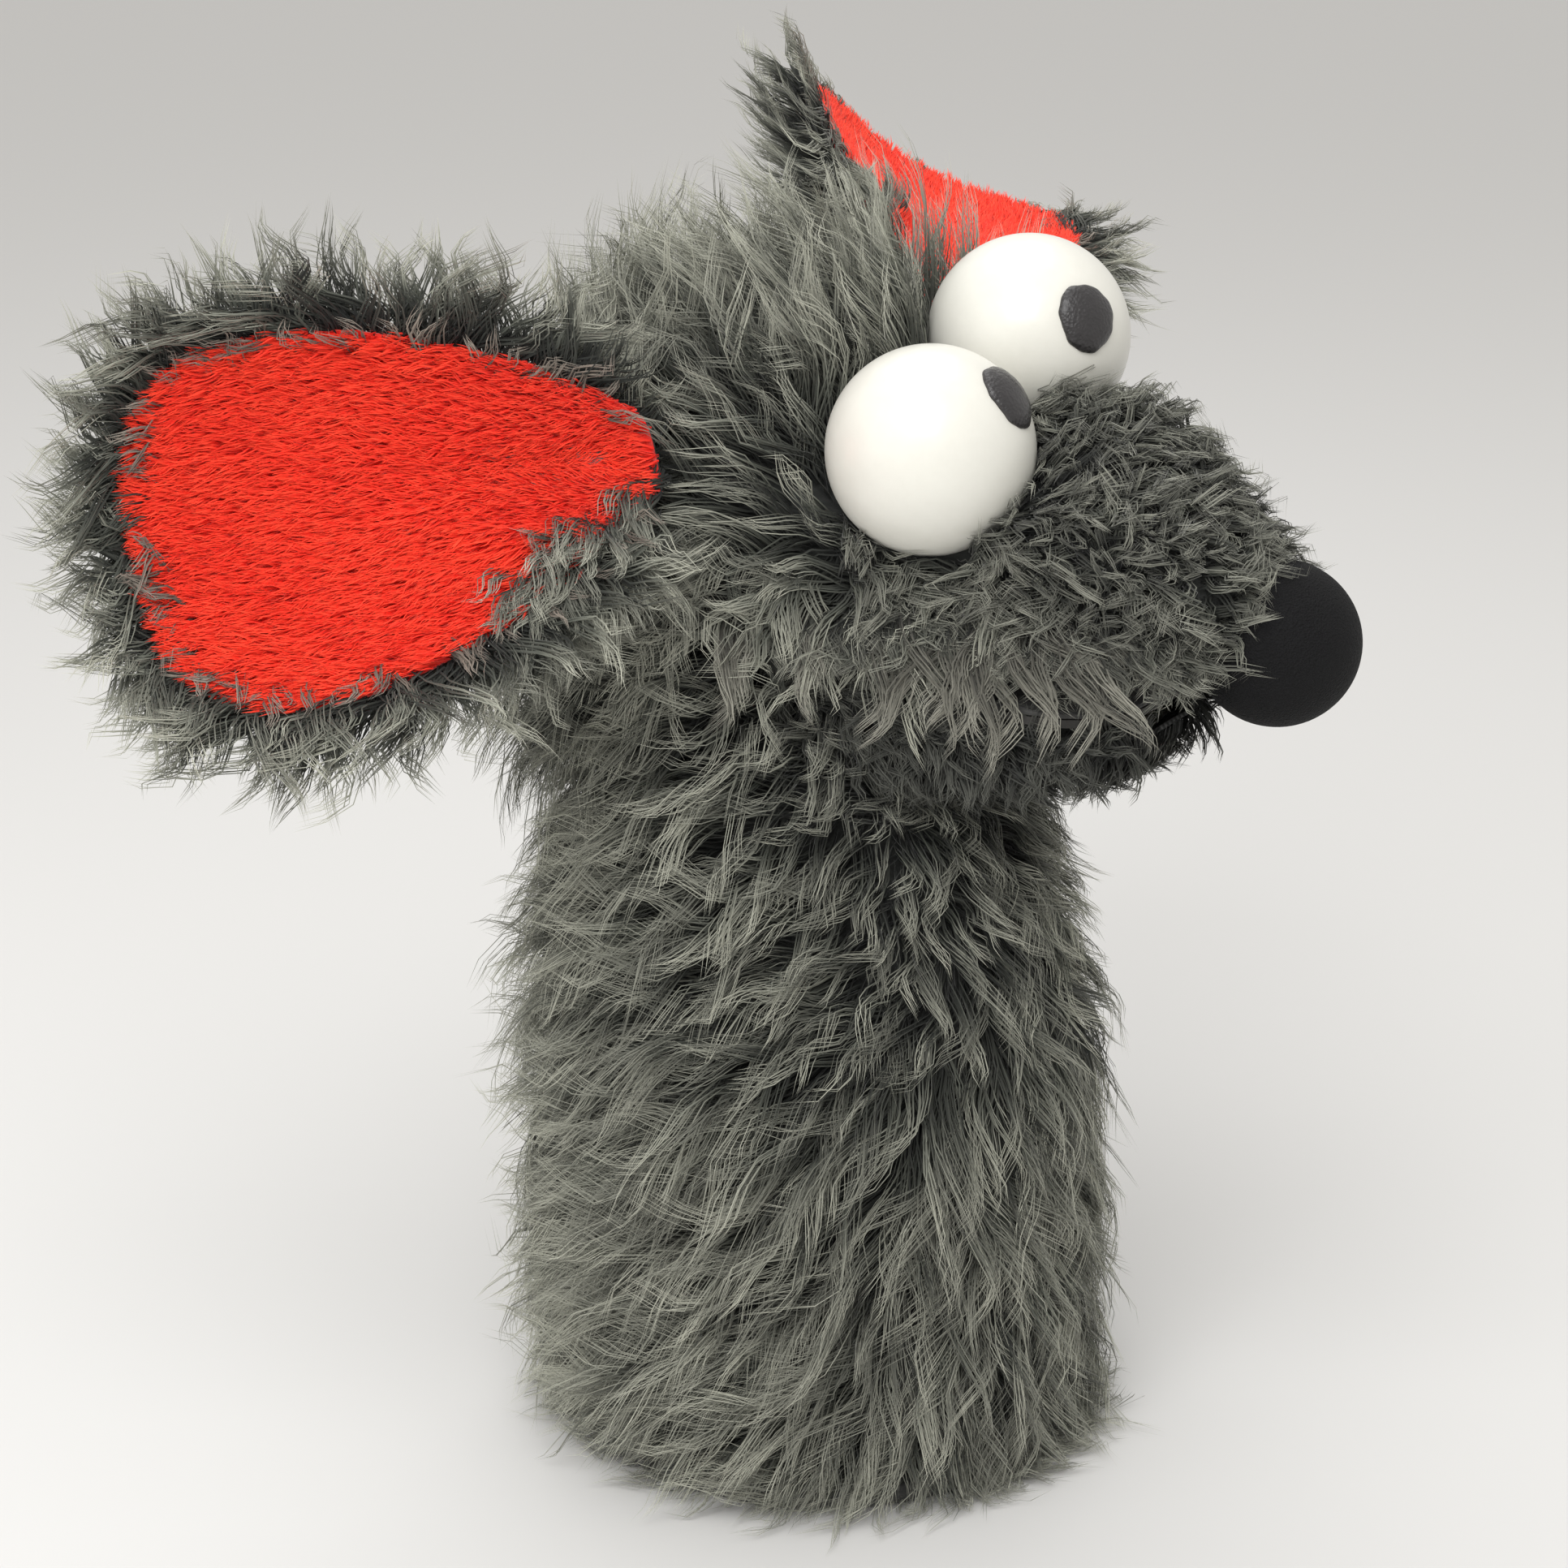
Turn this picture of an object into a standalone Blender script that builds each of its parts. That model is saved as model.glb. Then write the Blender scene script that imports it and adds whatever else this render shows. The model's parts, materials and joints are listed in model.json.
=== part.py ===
"""A shaggy, moving-mouth hand puppet that stands on its sleeve.

The puppet faces -Y, its left is +X and the cloth stands on z = 0. Everything on the head is drawn in a head
frame, whose origin is the middle of the mouth's hinge line. The top of the head leans over to the puppet's
right, so the left eye and ear sit higher. Lengths are in metres and angles in degrees.
"""

import math

import bmesh
import bpy
from mathutils import Matrix, Vector

# Gaps and wall thicknesses
GAP = 0.0003
CLOTH = 0.0012
BOARD = 0.0020
SHORT_SKIN = 0.009
LONG_SKIN = 0.015

# Sleeve: a tube for the forearm
SLEEVE_CENTRE = (-0.0124, 0.0140)
SLEEVE_RADIUS = 0.071
SLEEVE_WAIST = 0.069
SLEEVE_BORE = 0.0555
SLEEVE_TOP = 0.130
SLEEVE_EDGE = 0.003
HEM_HEIGHT = 0.006
HEM_OUTER = 0.066
HEM_CHAMFER = 0.0015
SIDES = 28

# Joints, measured from the middle of the sleeve's foot
NECK_TOP = -0.0398
NECK_TOP_SLOPE = 0.14
NECK_TOP_MIDDLE = 0.004
NECK_TOP_OUTER = 0.064
NECK_TOP_INNER = 0.042
NECK_RINGS = 3
NECK_PIVOT_HEIGHT = 0.148
NOD_PIVOT_HEIGHT = 0.163
HINGE_HEIGHT = 0.223
JAW_AJAR = 4.0

# How square the rounded outlines are: 1 is an ellipse, and less is squarer
ARCH_SIDE_POWER = 0.85
ARCH_RISE_POWER = 0.90
LIP_SIDE_POWER = 0.70
LIP_FRONT_POWER = 0.80

# How far a cutter runs past what it cuts
BEYOND = 0.010

# Head, in the head frame: rows of (y, half width, top, lean of the top towards the right)
CRANIUM = (
    (0.0620, 0.022, 0.036, 0.00),
    (0.0570, 0.040, 0.053, 0.04),
    (0.0450, 0.052, 0.067, 0.08),
    (0.0240, 0.058, 0.077, 0.12),
    (0.0000, 0.058, 0.078, 0.16),
    (-0.0180, 0.054, 0.069, 0.26),
    (-0.0300, 0.050, 0.062, 0.34),
)
MUZZLE = (
    (-0.0303, 0.050, 0.062, 0.34),
    (-0.0450, 0.045, 0.057, 0.36),
    (-0.0600, 0.041, 0.059, 0.34),
    (-0.0750, 0.039, 0.060, 0.30),
    (-0.0880, 0.036, 0.055, 0.25),
    (-0.1000, 0.031, 0.048, 0.18),
    (-0.1100, 0.026, 0.040, 0.12),
    (-0.1180, 0.020, 0.032, 0.06),
    (-0.1240, 0.012, 0.028, 0.00),
)
CHEEK_BOTTOM = -0.030
CHEEK_RAMP = (0.012, -0.002)
SPRING_SHARE = 0.42
HEM_TUCK = 0.93
MUZZLE_INSIDE_END = -0.096
SNOUT_LIFT_START = -0.104
SNOUT_LIFT = 0.012
FOAM_WALL = 0.006
FOAM_GAP = 0.0012

# Lower jaw, in the jaw frame: rows of (y, half width, depth)
JAW = (
    (-0.0040, 0.038, 0.014),
    (-0.0160, 0.041, 0.030),
    (-0.0320, 0.042, 0.038),
    (-0.0600, 0.040, 0.034),
    (-0.0800, 0.036, 0.028),
    (-0.0920, 0.029, 0.022),
    (-0.0985, 0.019, 0.016),
)
JAW_INSIDE_END = -0.088
JAW_SOLE_SHARE = 0.80

# Mouth: both lips are flat boards with a lining, joined by a tape behind the hinge
MOUTH_LENGTH = 0.096
MOUTH_HALF_WIDTH = 0.036
MOUTH_BACK = 0.003
LIP = 0.0015
TAPE_HALF_WIDTH = 0.029
TAPE_LEG = 0.012
MOUTH_SQUARE_SHARE = 0.70
FINGER_POCKET = {"half_width": 0.0255, "depth": 0.018, "start": -0.020, "end": -0.078}
THUMB_POCKET = {"half_width": 0.0150, "depth": 0.014, "start": -0.018, "end": -0.064}

# Eyes and nose, in the head frame
EYE_RADIUS = 0.025
EYE_CENTRE = {"right": (-0.030, -0.0465, 0.051), "left": (0.022, -0.0445, 0.069)}
PUPIL_HALF = 0.0080
PUPIL_RISE = 0.0014
PUPIL_EDGE_DROP = 0.90
PUPIL_AIM = {"right": (0.10, -0.78, 0.60), "left": (-0.40, -0.85, 0.34)}
PEG_AIM = {"right": (0.85, 0.00, -0.52), "left": (-0.25, 0.15, -0.96)}
NOSE_RADIUS = 0.020
NOSE_CENTRE = (0.004, -0.122, 0.007)
NOSE_PEG_AIM = (0.0, 1.0, 0.12)
PEG_RADIUS = 0.003
PEG_LENGTH = 0.013
BORE_DEEPER = 0.001

# Ears: cupped leaves; root, then the directions of the tip and of the red face, in the head frame
EAR_LENGTH = 0.114
EAR_HALF_WIDTH = 0.051
EAR_ROOT_HALF_WIDTH = 0.013
EAR_RISE = 0.016
EAR_CUP = 0.020
EAR_SWELL_POWER = 0.80
EAR_SIDE_POWER = 0.72
EAR_ROOT_PULL = 0.25
EAR_FUR_RIM = 0.016
EAR_FUR_THICKNESS = 0.012
EAR_FELT = 0.0020
EAR_PLUSH = 0.0060
EAR_GAP = 0.0004
EAR_EDGE_CURL = 0.90
EAR_TIP_CURL = 0.35
EAR_MIDDLE_DIP = 0.30
EAR_ROOT_FLATNESS = 0.60
EAR_FUR_ROOT_SHARE = 0.30
EAR_POSE = {
    "right": {"root": (-0.067, 0.008, 0.051), "tip": (-0.560, 0.800, -0.210), "face": (-0.80, -0.50, 0.33)},
    "left": {"root": (0.062, 0.005, 0.068), "tip": (0.81, 0.59, -0.05), "face": (0.38, -0.31, 0.87)},
}

# Colours and finishes: linear colour, roughness
FINISHES = {
    "long_fur": ((0.115, 0.120, 0.108), 0.90),
    "short_fur": ((0.090, 0.094, 0.085), 0.92),
    "red_plush": ((0.760, 0.050, 0.022), 0.85),
    "lining": ((0.060, 0.060, 0.058), 0.85),
    "felt": ((0.200, 0.195, 0.185), 0.95),
    "foam": ((0.720, 0.680, 0.560), 0.95),
    "board": ((0.420, 0.330, 0.220), 0.80),
    "eye_white": ((0.840, 0.840, 0.800), 0.35),
    "pupil_black": ((0.020, 0.019, 0.019), 0.30),
    "nose_black": ((0.012, 0.012, 0.014), 0.80),
    "peg": ((0.550, 0.400, 0.240), 0.60),
}


def clear_scene():
    """Empty the scene, whatever it holds."""
    for old in list(bpy.data.objects):
        bpy.data.objects.remove(old, do_unlink=True)


def finish(name):
    """The material called name, made on first use."""
    found = bpy.data.materials.get(name)
    if found:
        return found
    colour, roughness = FINISHES[name]
    material = bpy.data.materials.new(name)
    material.use_nodes = True
    shader = material.node_tree.nodes["Principled BSDF"]
    shader.inputs["Base Color"].default_value = (*colour, 1.0)
    shader.inputs["Roughness"].default_value = roughness
    shader.inputs["Metallic"].default_value = 0.0
    return material


def pivot(name, location, parent=None, pitch=0.0):
    """An empty on a joint's axis; pitch turns it about X."""
    empty = bpy.data.objects.new(name, None)
    empty.location = location
    empty.rotation_euler = (math.radians(pitch), 0.0, 0.0)
    empty.parent = parent
    bpy.context.scene.collection.objects.link(empty)
    return empty


def place(name, bm, parent, finish_name, smooth=40.0):
    """Turn a bmesh into a named object under its pivot, with its faces pointing out."""
    bmesh.ops.remove_doubles(bm, verts=bm.verts, dist=1e-6)
    bmesh.ops.recalc_face_normals(bm, faces=bm.faces)
    mesh = bpy.data.meshes.new(name)
    bm.to_mesh(mesh)
    bm.free()
    mesh.shade_smooth()
    mesh.set_sharp_from_angle(angle=math.radians(smooth))
    mesh.materials.append(finish(finish_name))
    part = bpy.data.objects.new(name, mesh)
    part.parent = parent
    bpy.context.scene.collection.objects.link(part)
    return part


def cutter(name, bm, parent):
    """A shape that only cuts others."""
    part = place(name, bm, parent, "foam")
    part.hide_render = True
    part.display_type = "WIRE"
    return part


def cut(part, *tools):
    """Take each tool's shape out of the part."""
    for tool in tools:
        modifier = part.modifiers.new(tool.name, "BOOLEAN")
        modifier.operation = "DIFFERENCE"
        modifier.solver = "EXACT"
        modifier.object = tool


def loft(rings):
    """A closed solid over rings of equal count, with flat ends."""
    bm = bmesh.new()
    loops = [[bm.verts.new(point) for point in ring] for ring in rings]
    count = len(rings[0])
    for near, far in zip(loops, loops[1:]):
        for i in range(count):
            j = (i + 1) % count
            bm.faces.new((near[i], near[j], far[j], far[i]))
    bm.faces.new(loops[0])
    bm.faces.new(loops[-1])
    return bm


def turned(profile, steps=SIDES):
    """A ring turned about Z from a closed profile of (radius, z) points."""
    bm = bmesh.new()
    verts = [bm.verts.new((radius, 0.0, z)) for radius, z in profile]
    edges = [bm.edges.new((verts[i - 1], verts[i])) for i in range(len(verts))]
    bmesh.ops.spin(
        bm, geom=verts + edges, cent=(0, 0, 0), axis=(0, 0, 1), angle=math.tau, steps=steps, use_merge=True
    )
    return bm


def ball(centre, radius, rings=14, segments=20):
    """A round ball."""
    bm = bmesh.new()
    bmesh.ops.create_uvsphere(bm, u_segments=segments, v_segments=rings, radius=radius)
    bmesh.ops.translate(bm, verts=bm.verts, vec=centre)
    return bm


def rod(start, end, radius, segments=12):
    """A round rod between two points."""
    start = Vector(start)
    along = Vector(end) - start
    bm = bmesh.new()
    bmesh.ops.create_cone(
        bm, cap_ends=True, segments=segments, radius1=radius, radius2=radius, depth=along.length
    )
    turn = along.to_track_quat("Z", "Y").to_matrix().to_4x4()
    bmesh.ops.transform(bm, verts=bm.verts, matrix=Matrix.Translation(start + along / 2) @ turn)
    return bm


def block(low, high):
    """A plain box between two corners."""
    bm = bmesh.new()
    bmesh.ops.create_cube(bm, size=1.0)
    size = [b - a for a, b in zip(low, high)]
    middle = [(a + b) / 2 for a, b in zip(low, high)]
    bmesh.ops.scale(bm, verts=bm.verts, vec=size)
    bmesh.ops.translate(bm, verts=bm.verts, vec=middle)
    return bm


def extruded(outline, half_width):
    """A (y, z) outline extruded across X."""
    bm = bmesh.new()
    face = bm.faces.new([bm.verts.new((-half_width, y, z)) for y, z in outline])
    grown = bmesh.ops.extrude_face_region(bm, geom=[face])
    moved = [item for item in grown["geom"] if isinstance(item, bmesh.types.BMVert)]
    bmesh.ops.translate(bm, verts=moved, vec=(2 * half_width, 0, 0))
    return bm


def arch_ring(y, half_width, top, bottom, spring, lean=0.0, points=14):
    """An arch across X at y: straight sides up to the spring, then a rounded top that leans over."""
    ring = []
    for i in range(points + 1):
        angle = math.pi * i / points
        side = math.copysign(abs(math.cos(angle)) ** ARCH_SIDE_POWER, math.cos(angle))
        rise = math.sin(angle) ** ARCH_RISE_POWER
        height = spring + (top - spring + lean * half_width * side) * rise
        ring.append((half_width * side, y, max(height, bottom)))
    inset = HEM_TUCK * half_width
    return ring + [(-inset, y, bottom), (inset, y, bottom)]


def cheek_bottom(y):
    """The height of the head's lower edge: low behind the mouth, above the boards along it."""
    back, front = CHEEK_RAMP
    above_boards = LIP + CLOTH + BOARD + 2 * GAP
    share = min(max((back - y) / (back - front), 0.0), 1.0)
    return CHEEK_BOTTOM + share * (above_boards - CHEEK_BOTTOM)


def head_rings(rows, inset=0.0, bottom=None):
    """Rings of the head's outline, drawn inward by inset; bottom None follows the cheek's edge."""
    rings = []
    for y, half_width, top, lean in rows:
        edge = cheek_bottom(y)
        spring = edge + SPRING_SHARE * (top - edge)
        low = edge if bottom is None else bottom
        rings.append(arch_ring(y, half_width - inset, top - inset, low, spring, lean))
    return rings


def with_breaks(rows, breaks):
    """Rows with more stations at the given y, read between their neighbours."""
    added = list(rows)
    for y in breaks:
        for near, far in zip(rows, rows[1:]):
            if far[0] < y < near[0]:
                share = (near[0] - y) / (near[0] - far[0])
                added.append((y, *(a + share * (b - a) for a, b in zip(near[1:], far[1:]))))
    return sorted(added, reverse=True)


def cut_short(rows, start, end):
    """The rows between two values of y, with a station at each."""
    return [row for row in with_breaks(rows, (start, end)) if end - 1e-9 <= row[0] <= start + 1e-9]


def build_sleeve(root):
    """The forearm's tube: fur outside, a lining, and the hem that it stands on."""
    middle = 0.5 * SLEEVE_TOP
    foot = HEM_HEIGHT + GAP
    profile = (
        (SLEEVE_BORE, foot),
        (SLEEVE_RADIUS - SLEEVE_EDGE, foot),
        (SLEEVE_RADIUS, foot + 2 * SLEEVE_EDGE),
        (SLEEVE_WAIST, middle),
        (SLEEVE_RADIUS, SLEEVE_TOP - 2 * SLEEVE_EDGE),
        (SLEEVE_RADIUS - SLEEVE_EDGE, SLEEVE_TOP),
        (SLEEVE_BORE, SLEEVE_TOP),
    )
    place("sleeve_fur", turned(profile), root, "long_fur")
    outer = SLEEVE_BORE - GAP
    inner = outer - CLOTH
    lining = ((inner, foot), (outer, foot), (outer, SLEEVE_TOP), (inner, SLEEVE_TOP))
    place("sleeve_lining", turned(lining), root, "lining")
    hem = (
        (inner, 0.0),
        (HEM_OUTER - HEM_CHAMFER, 0.0),
        (HEM_OUTER, HEM_CHAMFER),
        (HEM_OUTER, HEM_HEIGHT),
        (inner, HEM_HEIGHT),
    )
    place("sleeve_hem", turned(hem), root, "lining")


def neck_ring(share, radius, top_half):
    """A ring of the neck: round at the sleeve, the head's oval at the top, lower in front under the jaw."""
    ring = []
    for i in range(SIDES):
        angle = math.tau * i / SIDES
        across, along = math.cos(angle), math.sin(angle)
        low = Vector((radius * across, radius * along, SLEEVE_TOP + GAP))
        y = NECK_TOP_MIDDLE + top_half * along
        high = Vector((top_half * across, y, HINGE_HEIGHT + NECK_TOP + NECK_TOP_SLOPE * y))
        ring.append(low.lerp(high, share) - Vector((0, 0, NECK_PIVOT_HEIGHT)))
    return ring


def build_neck(neck):
    """The soft tube between the sleeve and the head."""
    steps = [k / NECK_RINGS for k in range(NECK_RINGS + 1)]
    bottom = SLEEVE_BORE - GAP
    top = NECK_TOP_INNER - GAP
    skins = (
        ("neck_fur", "long_fur", SLEEVE_RADIUS - SLEEVE_EDGE, SLEEVE_BORE, NECK_TOP_OUTER, NECK_TOP_INNER),
        ("neck_lining", "lining", bottom, bottom - CLOTH, top, top - CLOTH),
    )
    for name, finish_name, outer, inner, outer_top, inner_top in skins:
        bm = bmesh.new()
        walls = []
        for radius, top_half in ((outer, outer_top), (inner, inner_top)):
            rings = [neck_ring(share, radius, top_half) for share in steps]
            walls.append([[bm.verts.new(point) for point in ring] for ring in rings])
        bands = [*zip(walls[0], walls[0][1:]), *zip(walls[1], walls[1][1:])]
        bands += [(walls[0][0], walls[1][0]), (walls[0][-1], walls[1][-1])]
        for near, far in bands:
            for i in range(SIDES):
                j = (i + 1) % SIDES
                bm.faces.new((near[i], near[j], far[j], far[i]))
        place(name, bm, neck, finish_name)


def build_head_skins(head, sockets, pegs):
    """The fur of the head and muzzle, with the foam that gives them their shape."""
    rows = with_breaks(CRANIUM, CHEEK_RAMP)
    cranium = place("head_fur", loft(head_rings(rows)), head, "long_fur")
    back = CRANIUM[0][0] - LONG_SKIN
    front = CRANIUM[-1][0]
    well_below = CHEEK_BOTTOM - BEYOND
    inside = loft(
        head_rings(cut_short(CRANIUM, back, front), LONG_SKIN, well_below)
        + head_rings([(front - BEYOND, *CRANIUM[-1][1:])], LONG_SKIN, well_below)
    )
    cut(cranium, cutter("head_hollow", inside, head), *sockets)

    above_boards = cheek_bottom(front)
    foam_back = back - FOAM_GAP
    around_foam = LONG_SKIN + FOAM_GAP
    foam = loft(head_rings(cut_short(CRANIUM, foam_back, front), around_foam, above_boards))
    foam_part = place("head_foam", foam, head, "foam")
    deeper = around_foam + FOAM_WALL
    inside = loft(
        head_rings(cut_short(CRANIUM, foam_back - FOAM_WALL, front), deeper, well_below)
        + head_rings([(front - BEYOND, *CRANIUM[-1][1:])], deeper, well_below)
    )
    cut(foam_part, cutter("foam_hollow", inside, head), *sockets)

    muzzle = place("muzzle_fur", loft(muzzle_rings()), head, "short_fur")
    start = MUZZLE[0][0]
    inside = loft(
        head_rings([(start + BEYOND, *MUZZLE[0][1:])], SHORT_SKIN, 0.0)
        + head_rings(cut_short(MUZZLE, start, MUZZLE_INSIDE_END), SHORT_SKIN, 0.0)
    )
    cut(muzzle, cutter("muzzle_hollow", inside, head), *sockets, *pegs)

    pocket_top = above_boards + CLOTH + FINGER_POCKET["depth"] + 2 * GAP
    step = FINGER_POCKET["end"] - GAP
    inset = SHORT_SKIN + 2 * GAP
    over_pocket = head_rings(cut_short(MUZZLE, start, step), inset, pocket_top)
    ahead = cut_short(MUZZLE, step - GAP, MUZZLE_INSIDE_END + GAP)
    past_pocket = head_rings(ahead, inset, above_boards + GAP)
    cut(place("muzzle_foam", loft(over_pocket + past_pocket), head, "foam"), *sockets, *pegs)


def muzzle_rings():
    """The muzzle's outline, whose lower edge lifts into the nose at the front."""
    rings = []
    chin = cheek_bottom(MUZZLE[0][0])
    for y, half_width, top, lean in MUZZLE:
        share = max(0.0, SNOUT_LIFT_START - y) / (SNOUT_LIFT_START - MUZZLE[-1][0])
        edge = chin + SNOUT_LIFT * share
        rings.append(arch_ring(y, half_width, top, edge, edge + SPRING_SHARE * (top - edge), lean))
    return rings


def mouth_outline(points=12):
    """The lips' outline: straight sides from the hinge line, and a rounded front."""
    straight = -MOUTH_LENGTH * MOUTH_SQUARE_SHARE
    bulge = MOUTH_LENGTH * (1.0 - MOUTH_SQUARE_SHARE)
    outline = [(MOUTH_HALF_WIDTH, -MOUTH_BACK)]
    for i in range(points + 1):
        angle = math.pi * i / points
        x = MOUTH_HALF_WIDTH * math.copysign(abs(math.cos(angle)) ** LIP_SIDE_POWER, math.cos(angle))
        outline.append((x, straight - bulge * math.sin(angle) ** LIP_FRONT_POWER))
    return [*outline, (-MOUTH_HALF_WIDTH, -MOUTH_BACK)]


def build_mouth_half(parent, words, side):
    """A lip's lining and board; side is 1 for the upper and -1 for the lower."""
    heights = {
        f"{words}_mouth_lining": (LIP, LIP + CLOTH, "lining"),
        f"{words}_mouth_plate": (LIP + CLOTH + GAP, LIP + CLOTH + GAP + BOARD, "board"),
    }
    for name, (low, high, finish_name) in heights.items():
        rings = [[(x, y, side * z) for x, y in mouth_outline()] for z in (low, high)]
        place(name, loft(rings), parent, finish_name)


def build_pocket(name, parent, sizes, side):
    """A flat cloth pocket against a board, open towards the neck."""
    face = LIP + CLOTH + BOARD + 2 * GAP + CLOTH + GAP
    half, depth = sizes["half_width"], sizes["depth"]
    low, high = sorted((side * face, side * (face + depth)))
    shell = place(name, block((-half, sizes["end"], low), (half, sizes["start"], high)), parent, "lining")
    inside = block(
        (-half + CLOTH, sizes["end"] + CLOTH, low + CLOTH),
        (half - CLOTH, sizes["start"] + CLOTH, high - CLOTH),
    )
    cut(shell, cutter(f"{name}_hollow", inside, parent))


def build_hinge_tape(head):
    """The cloth tape that joins both boards round the back of the hinge."""
    face = LIP + CLOTH + BOARD + 2 * GAP
    steps = 10
    outer, inner = [], []
    for i in range(steps + 1):
        angle = math.radians(90 - 180 * i / steps)
        slack = GAP * i / steps
        for radius, points in ((face + slack + CLOTH, outer), (face + slack, inner)):
            points.append((-MOUTH_BACK + GAP + radius * math.cos(angle), radius * math.sin(angle)))
    leg = -MOUTH_BACK - TAPE_LEG
    low = -face - GAP - math.tan(math.radians(JAW_AJAR)) * (TAPE_LEG + MOUTH_BACK)
    outline = [(leg, face + CLOTH), *outer, (leg, low - CLOTH), (leg, low)]
    outline += [*reversed(inner), (leg, face)]
    place("mouth_hinge_tape", extruded(outline, TAPE_HALF_WIDTH), head, "lining")


def jaw_rings(rows, side_wall=0.0, sole=0.0, floor=None):
    """Arches that hang below the mouth, drawn inward by a side wall and a sole; floor trims them level."""
    edge = LIP + CLOTH + BOARD + 2 * GAP
    trim = edge if floor is None else floor
    rings = []
    for y, half_width, depth in rows:
        spring = edge + SPRING_SHARE * (depth - edge)
        ring = arch_ring(y, half_width - side_wall, depth - sole, trim, spring)
        rings.append([(x, along, -z) for x, along, z in ring])
    return rings


def build_jaw(jaw):
    """The lower jaw's fur, its stuffing and its thumb pocket."""
    fur = place("jaw_fur", loft(jaw_rings(JAW)), jaw, "short_fur")
    start = JAW[0][0]
    opening = JAW[1][1:]
    rows = [(start + BEYOND, *opening), (start, *opening), *cut_short(JAW, start, JAW_INSIDE_END)[1:]]
    sole = JAW_SOLE_SHARE * SHORT_SKIN
    cut(fur, cutter("jaw_hollow", loft(jaw_rings(rows, SHORT_SKIN, sole, -BEYOND)), jaw))
    build_pocket("thumb_pocket", jaw, THUMB_POCKET, -1)
    rows = cut_short(JAW, THUMB_POCKET["end"] - 2 * GAP, JAW_INSIDE_END + GAP)
    floor = LIP + CLOTH + BOARD + 3 * GAP
    foam = jaw_rings(rows, SHORT_SKIN + 2 * GAP, sole + 2 * GAP, floor)
    place("jaw_foam", loft(foam), jaw, "foam")


def polar(tilt, turn):
    """A unit direction, tilted away from Z and turned about it."""
    return Vector((math.sin(tilt) * math.cos(turn), math.sin(tilt) * math.sin(turn), math.cos(tilt)))


def two_sheets(bm, sheets):
    """Close two fans of rings, each a pole and its loops, into one solid joined at the last loops."""
    count = len(sheets[0][1][0])
    bands = [(sheets[0][1][-1], sheets[1][1][-1])]
    for pole, loops in sheets:
        bands += zip(loops, loops[1:])
        for i in range(count):
            bm.faces.new((pole, loops[0][i], loops[0][(i + 1) % count]))
    for near, far in bands:
        for i in range(count):
            j = (i + 1) % count
            bm.faces.new((near[i], near[j], far[j], far[i]))


def build_pupil(side, centre, head, steps=3, sides=16):
    """A domed disc on the front of the ball."""
    turn = Vector(PUPIL_AIM[side]).normalized().to_track_quat("Z", "Y").to_matrix().to_4x4()
    frame = Matrix.Translation(centre) @ turn
    reach = math.asin(PUPIL_HALF / EYE_RADIUS)
    base = EYE_RADIUS + 1.5 * GAP
    bm = bmesh.new()
    sheets = []
    for rise in (PUPIL_RISE, 0.0):
        pole = bm.verts.new(frame @ Vector((0, 0, base + rise)))
        loops = []
        for k in range(1, steps + 1):
            share = k / steps
            radius = base + rise * math.sqrt(1.0 - PUPIL_EDGE_DROP * share**2)
            ring = [frame @ (radius * polar(reach * share, math.tau * i / sides)) for i in range(sides)]
            loops.append([bm.verts.new(point) for point in ring])
        sheets.append((pole, loops))
    two_sheets(bm, sheets)
    place(f"pupil_{side}", bm, head, "pupil_black")


def build_eye(side, head):
    """One ball, its domed pupil and its peg."""
    centre = Vector(EYE_CENTRE[side])
    place(f"eye_ball_{side}", ball(centre, EYE_RADIUS), head, "eye_white")
    build_pupil(side, centre, head)
    place(f"eye_peg_{side}", peg(centre, PEG_AIM[side], EYE_RADIUS, PEG_RADIUS), head, "peg")


def peg(centre, direction, ball_radius, radius, extra=0.0):
    """A peg that starts at a ball's surface; extra makes it longer at both ends."""
    direction = Vector(direction).normalized()
    start = centre + direction * (ball_radius + GAP - extra)
    return rod(start, start + direction * (PEG_LENGTH + 2 * extra), radius)


def build_nose(head):
    """The nose ball and its peg."""
    centre = Vector(NOSE_CENTRE)
    place("nose_ball", ball(centre, NOSE_RADIUS), head, "nose_black")
    place("nose_peg", peg(centre, NOSE_PEG_AIM, NOSE_RADIUS, PEG_RADIUS), head, "peg")


def ear_outline(rim=0.0, count=24):
    """Points of the ear's leaf in its own plane: u runs to the tip and v across."""
    points = []
    for i in range(count):
        angle = math.tau * i / count
        u = 0.5 * EAR_LENGTH - (0.5 * EAR_LENGTH + rim) * math.cos(angle)
        swell = math.sin(0.5 * angle) ** 2
        narrow = EAR_ROOT_HALF_WIDTH + (EAR_HALF_WIDTH - EAR_ROOT_HALF_WIDTH) * swell**EAR_SWELL_POWER
        v = (narrow + rim) * math.copysign(abs(math.sin(angle)) ** EAR_SIDE_POWER, math.sin(angle))
        points.append((u if u > 0.0 else EAR_ROOT_PULL * u, v))
    return points


def ear_height(u, v):
    """How far the leaf stands off the root's plane: it rises from the root and its edges curl forward."""
    half = 0.5 * EAR_LENGTH
    root = 1.0 - min(max(u / half, 0.0), 1.0)
    tip = max(u / half - 1.0, 0.0)
    edge = (v / EAR_HALF_WIDTH) ** 2 * (1.0 - EAR_ROOT_FLATNESS * root)
    curl = EAR_EDGE_CURL * edge + EAR_TIP_CURL * tip**2 - EAR_MIDDLE_DIP
    return EAR_RISE * (1.0 - root**2) + EAR_CUP * curl


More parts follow.
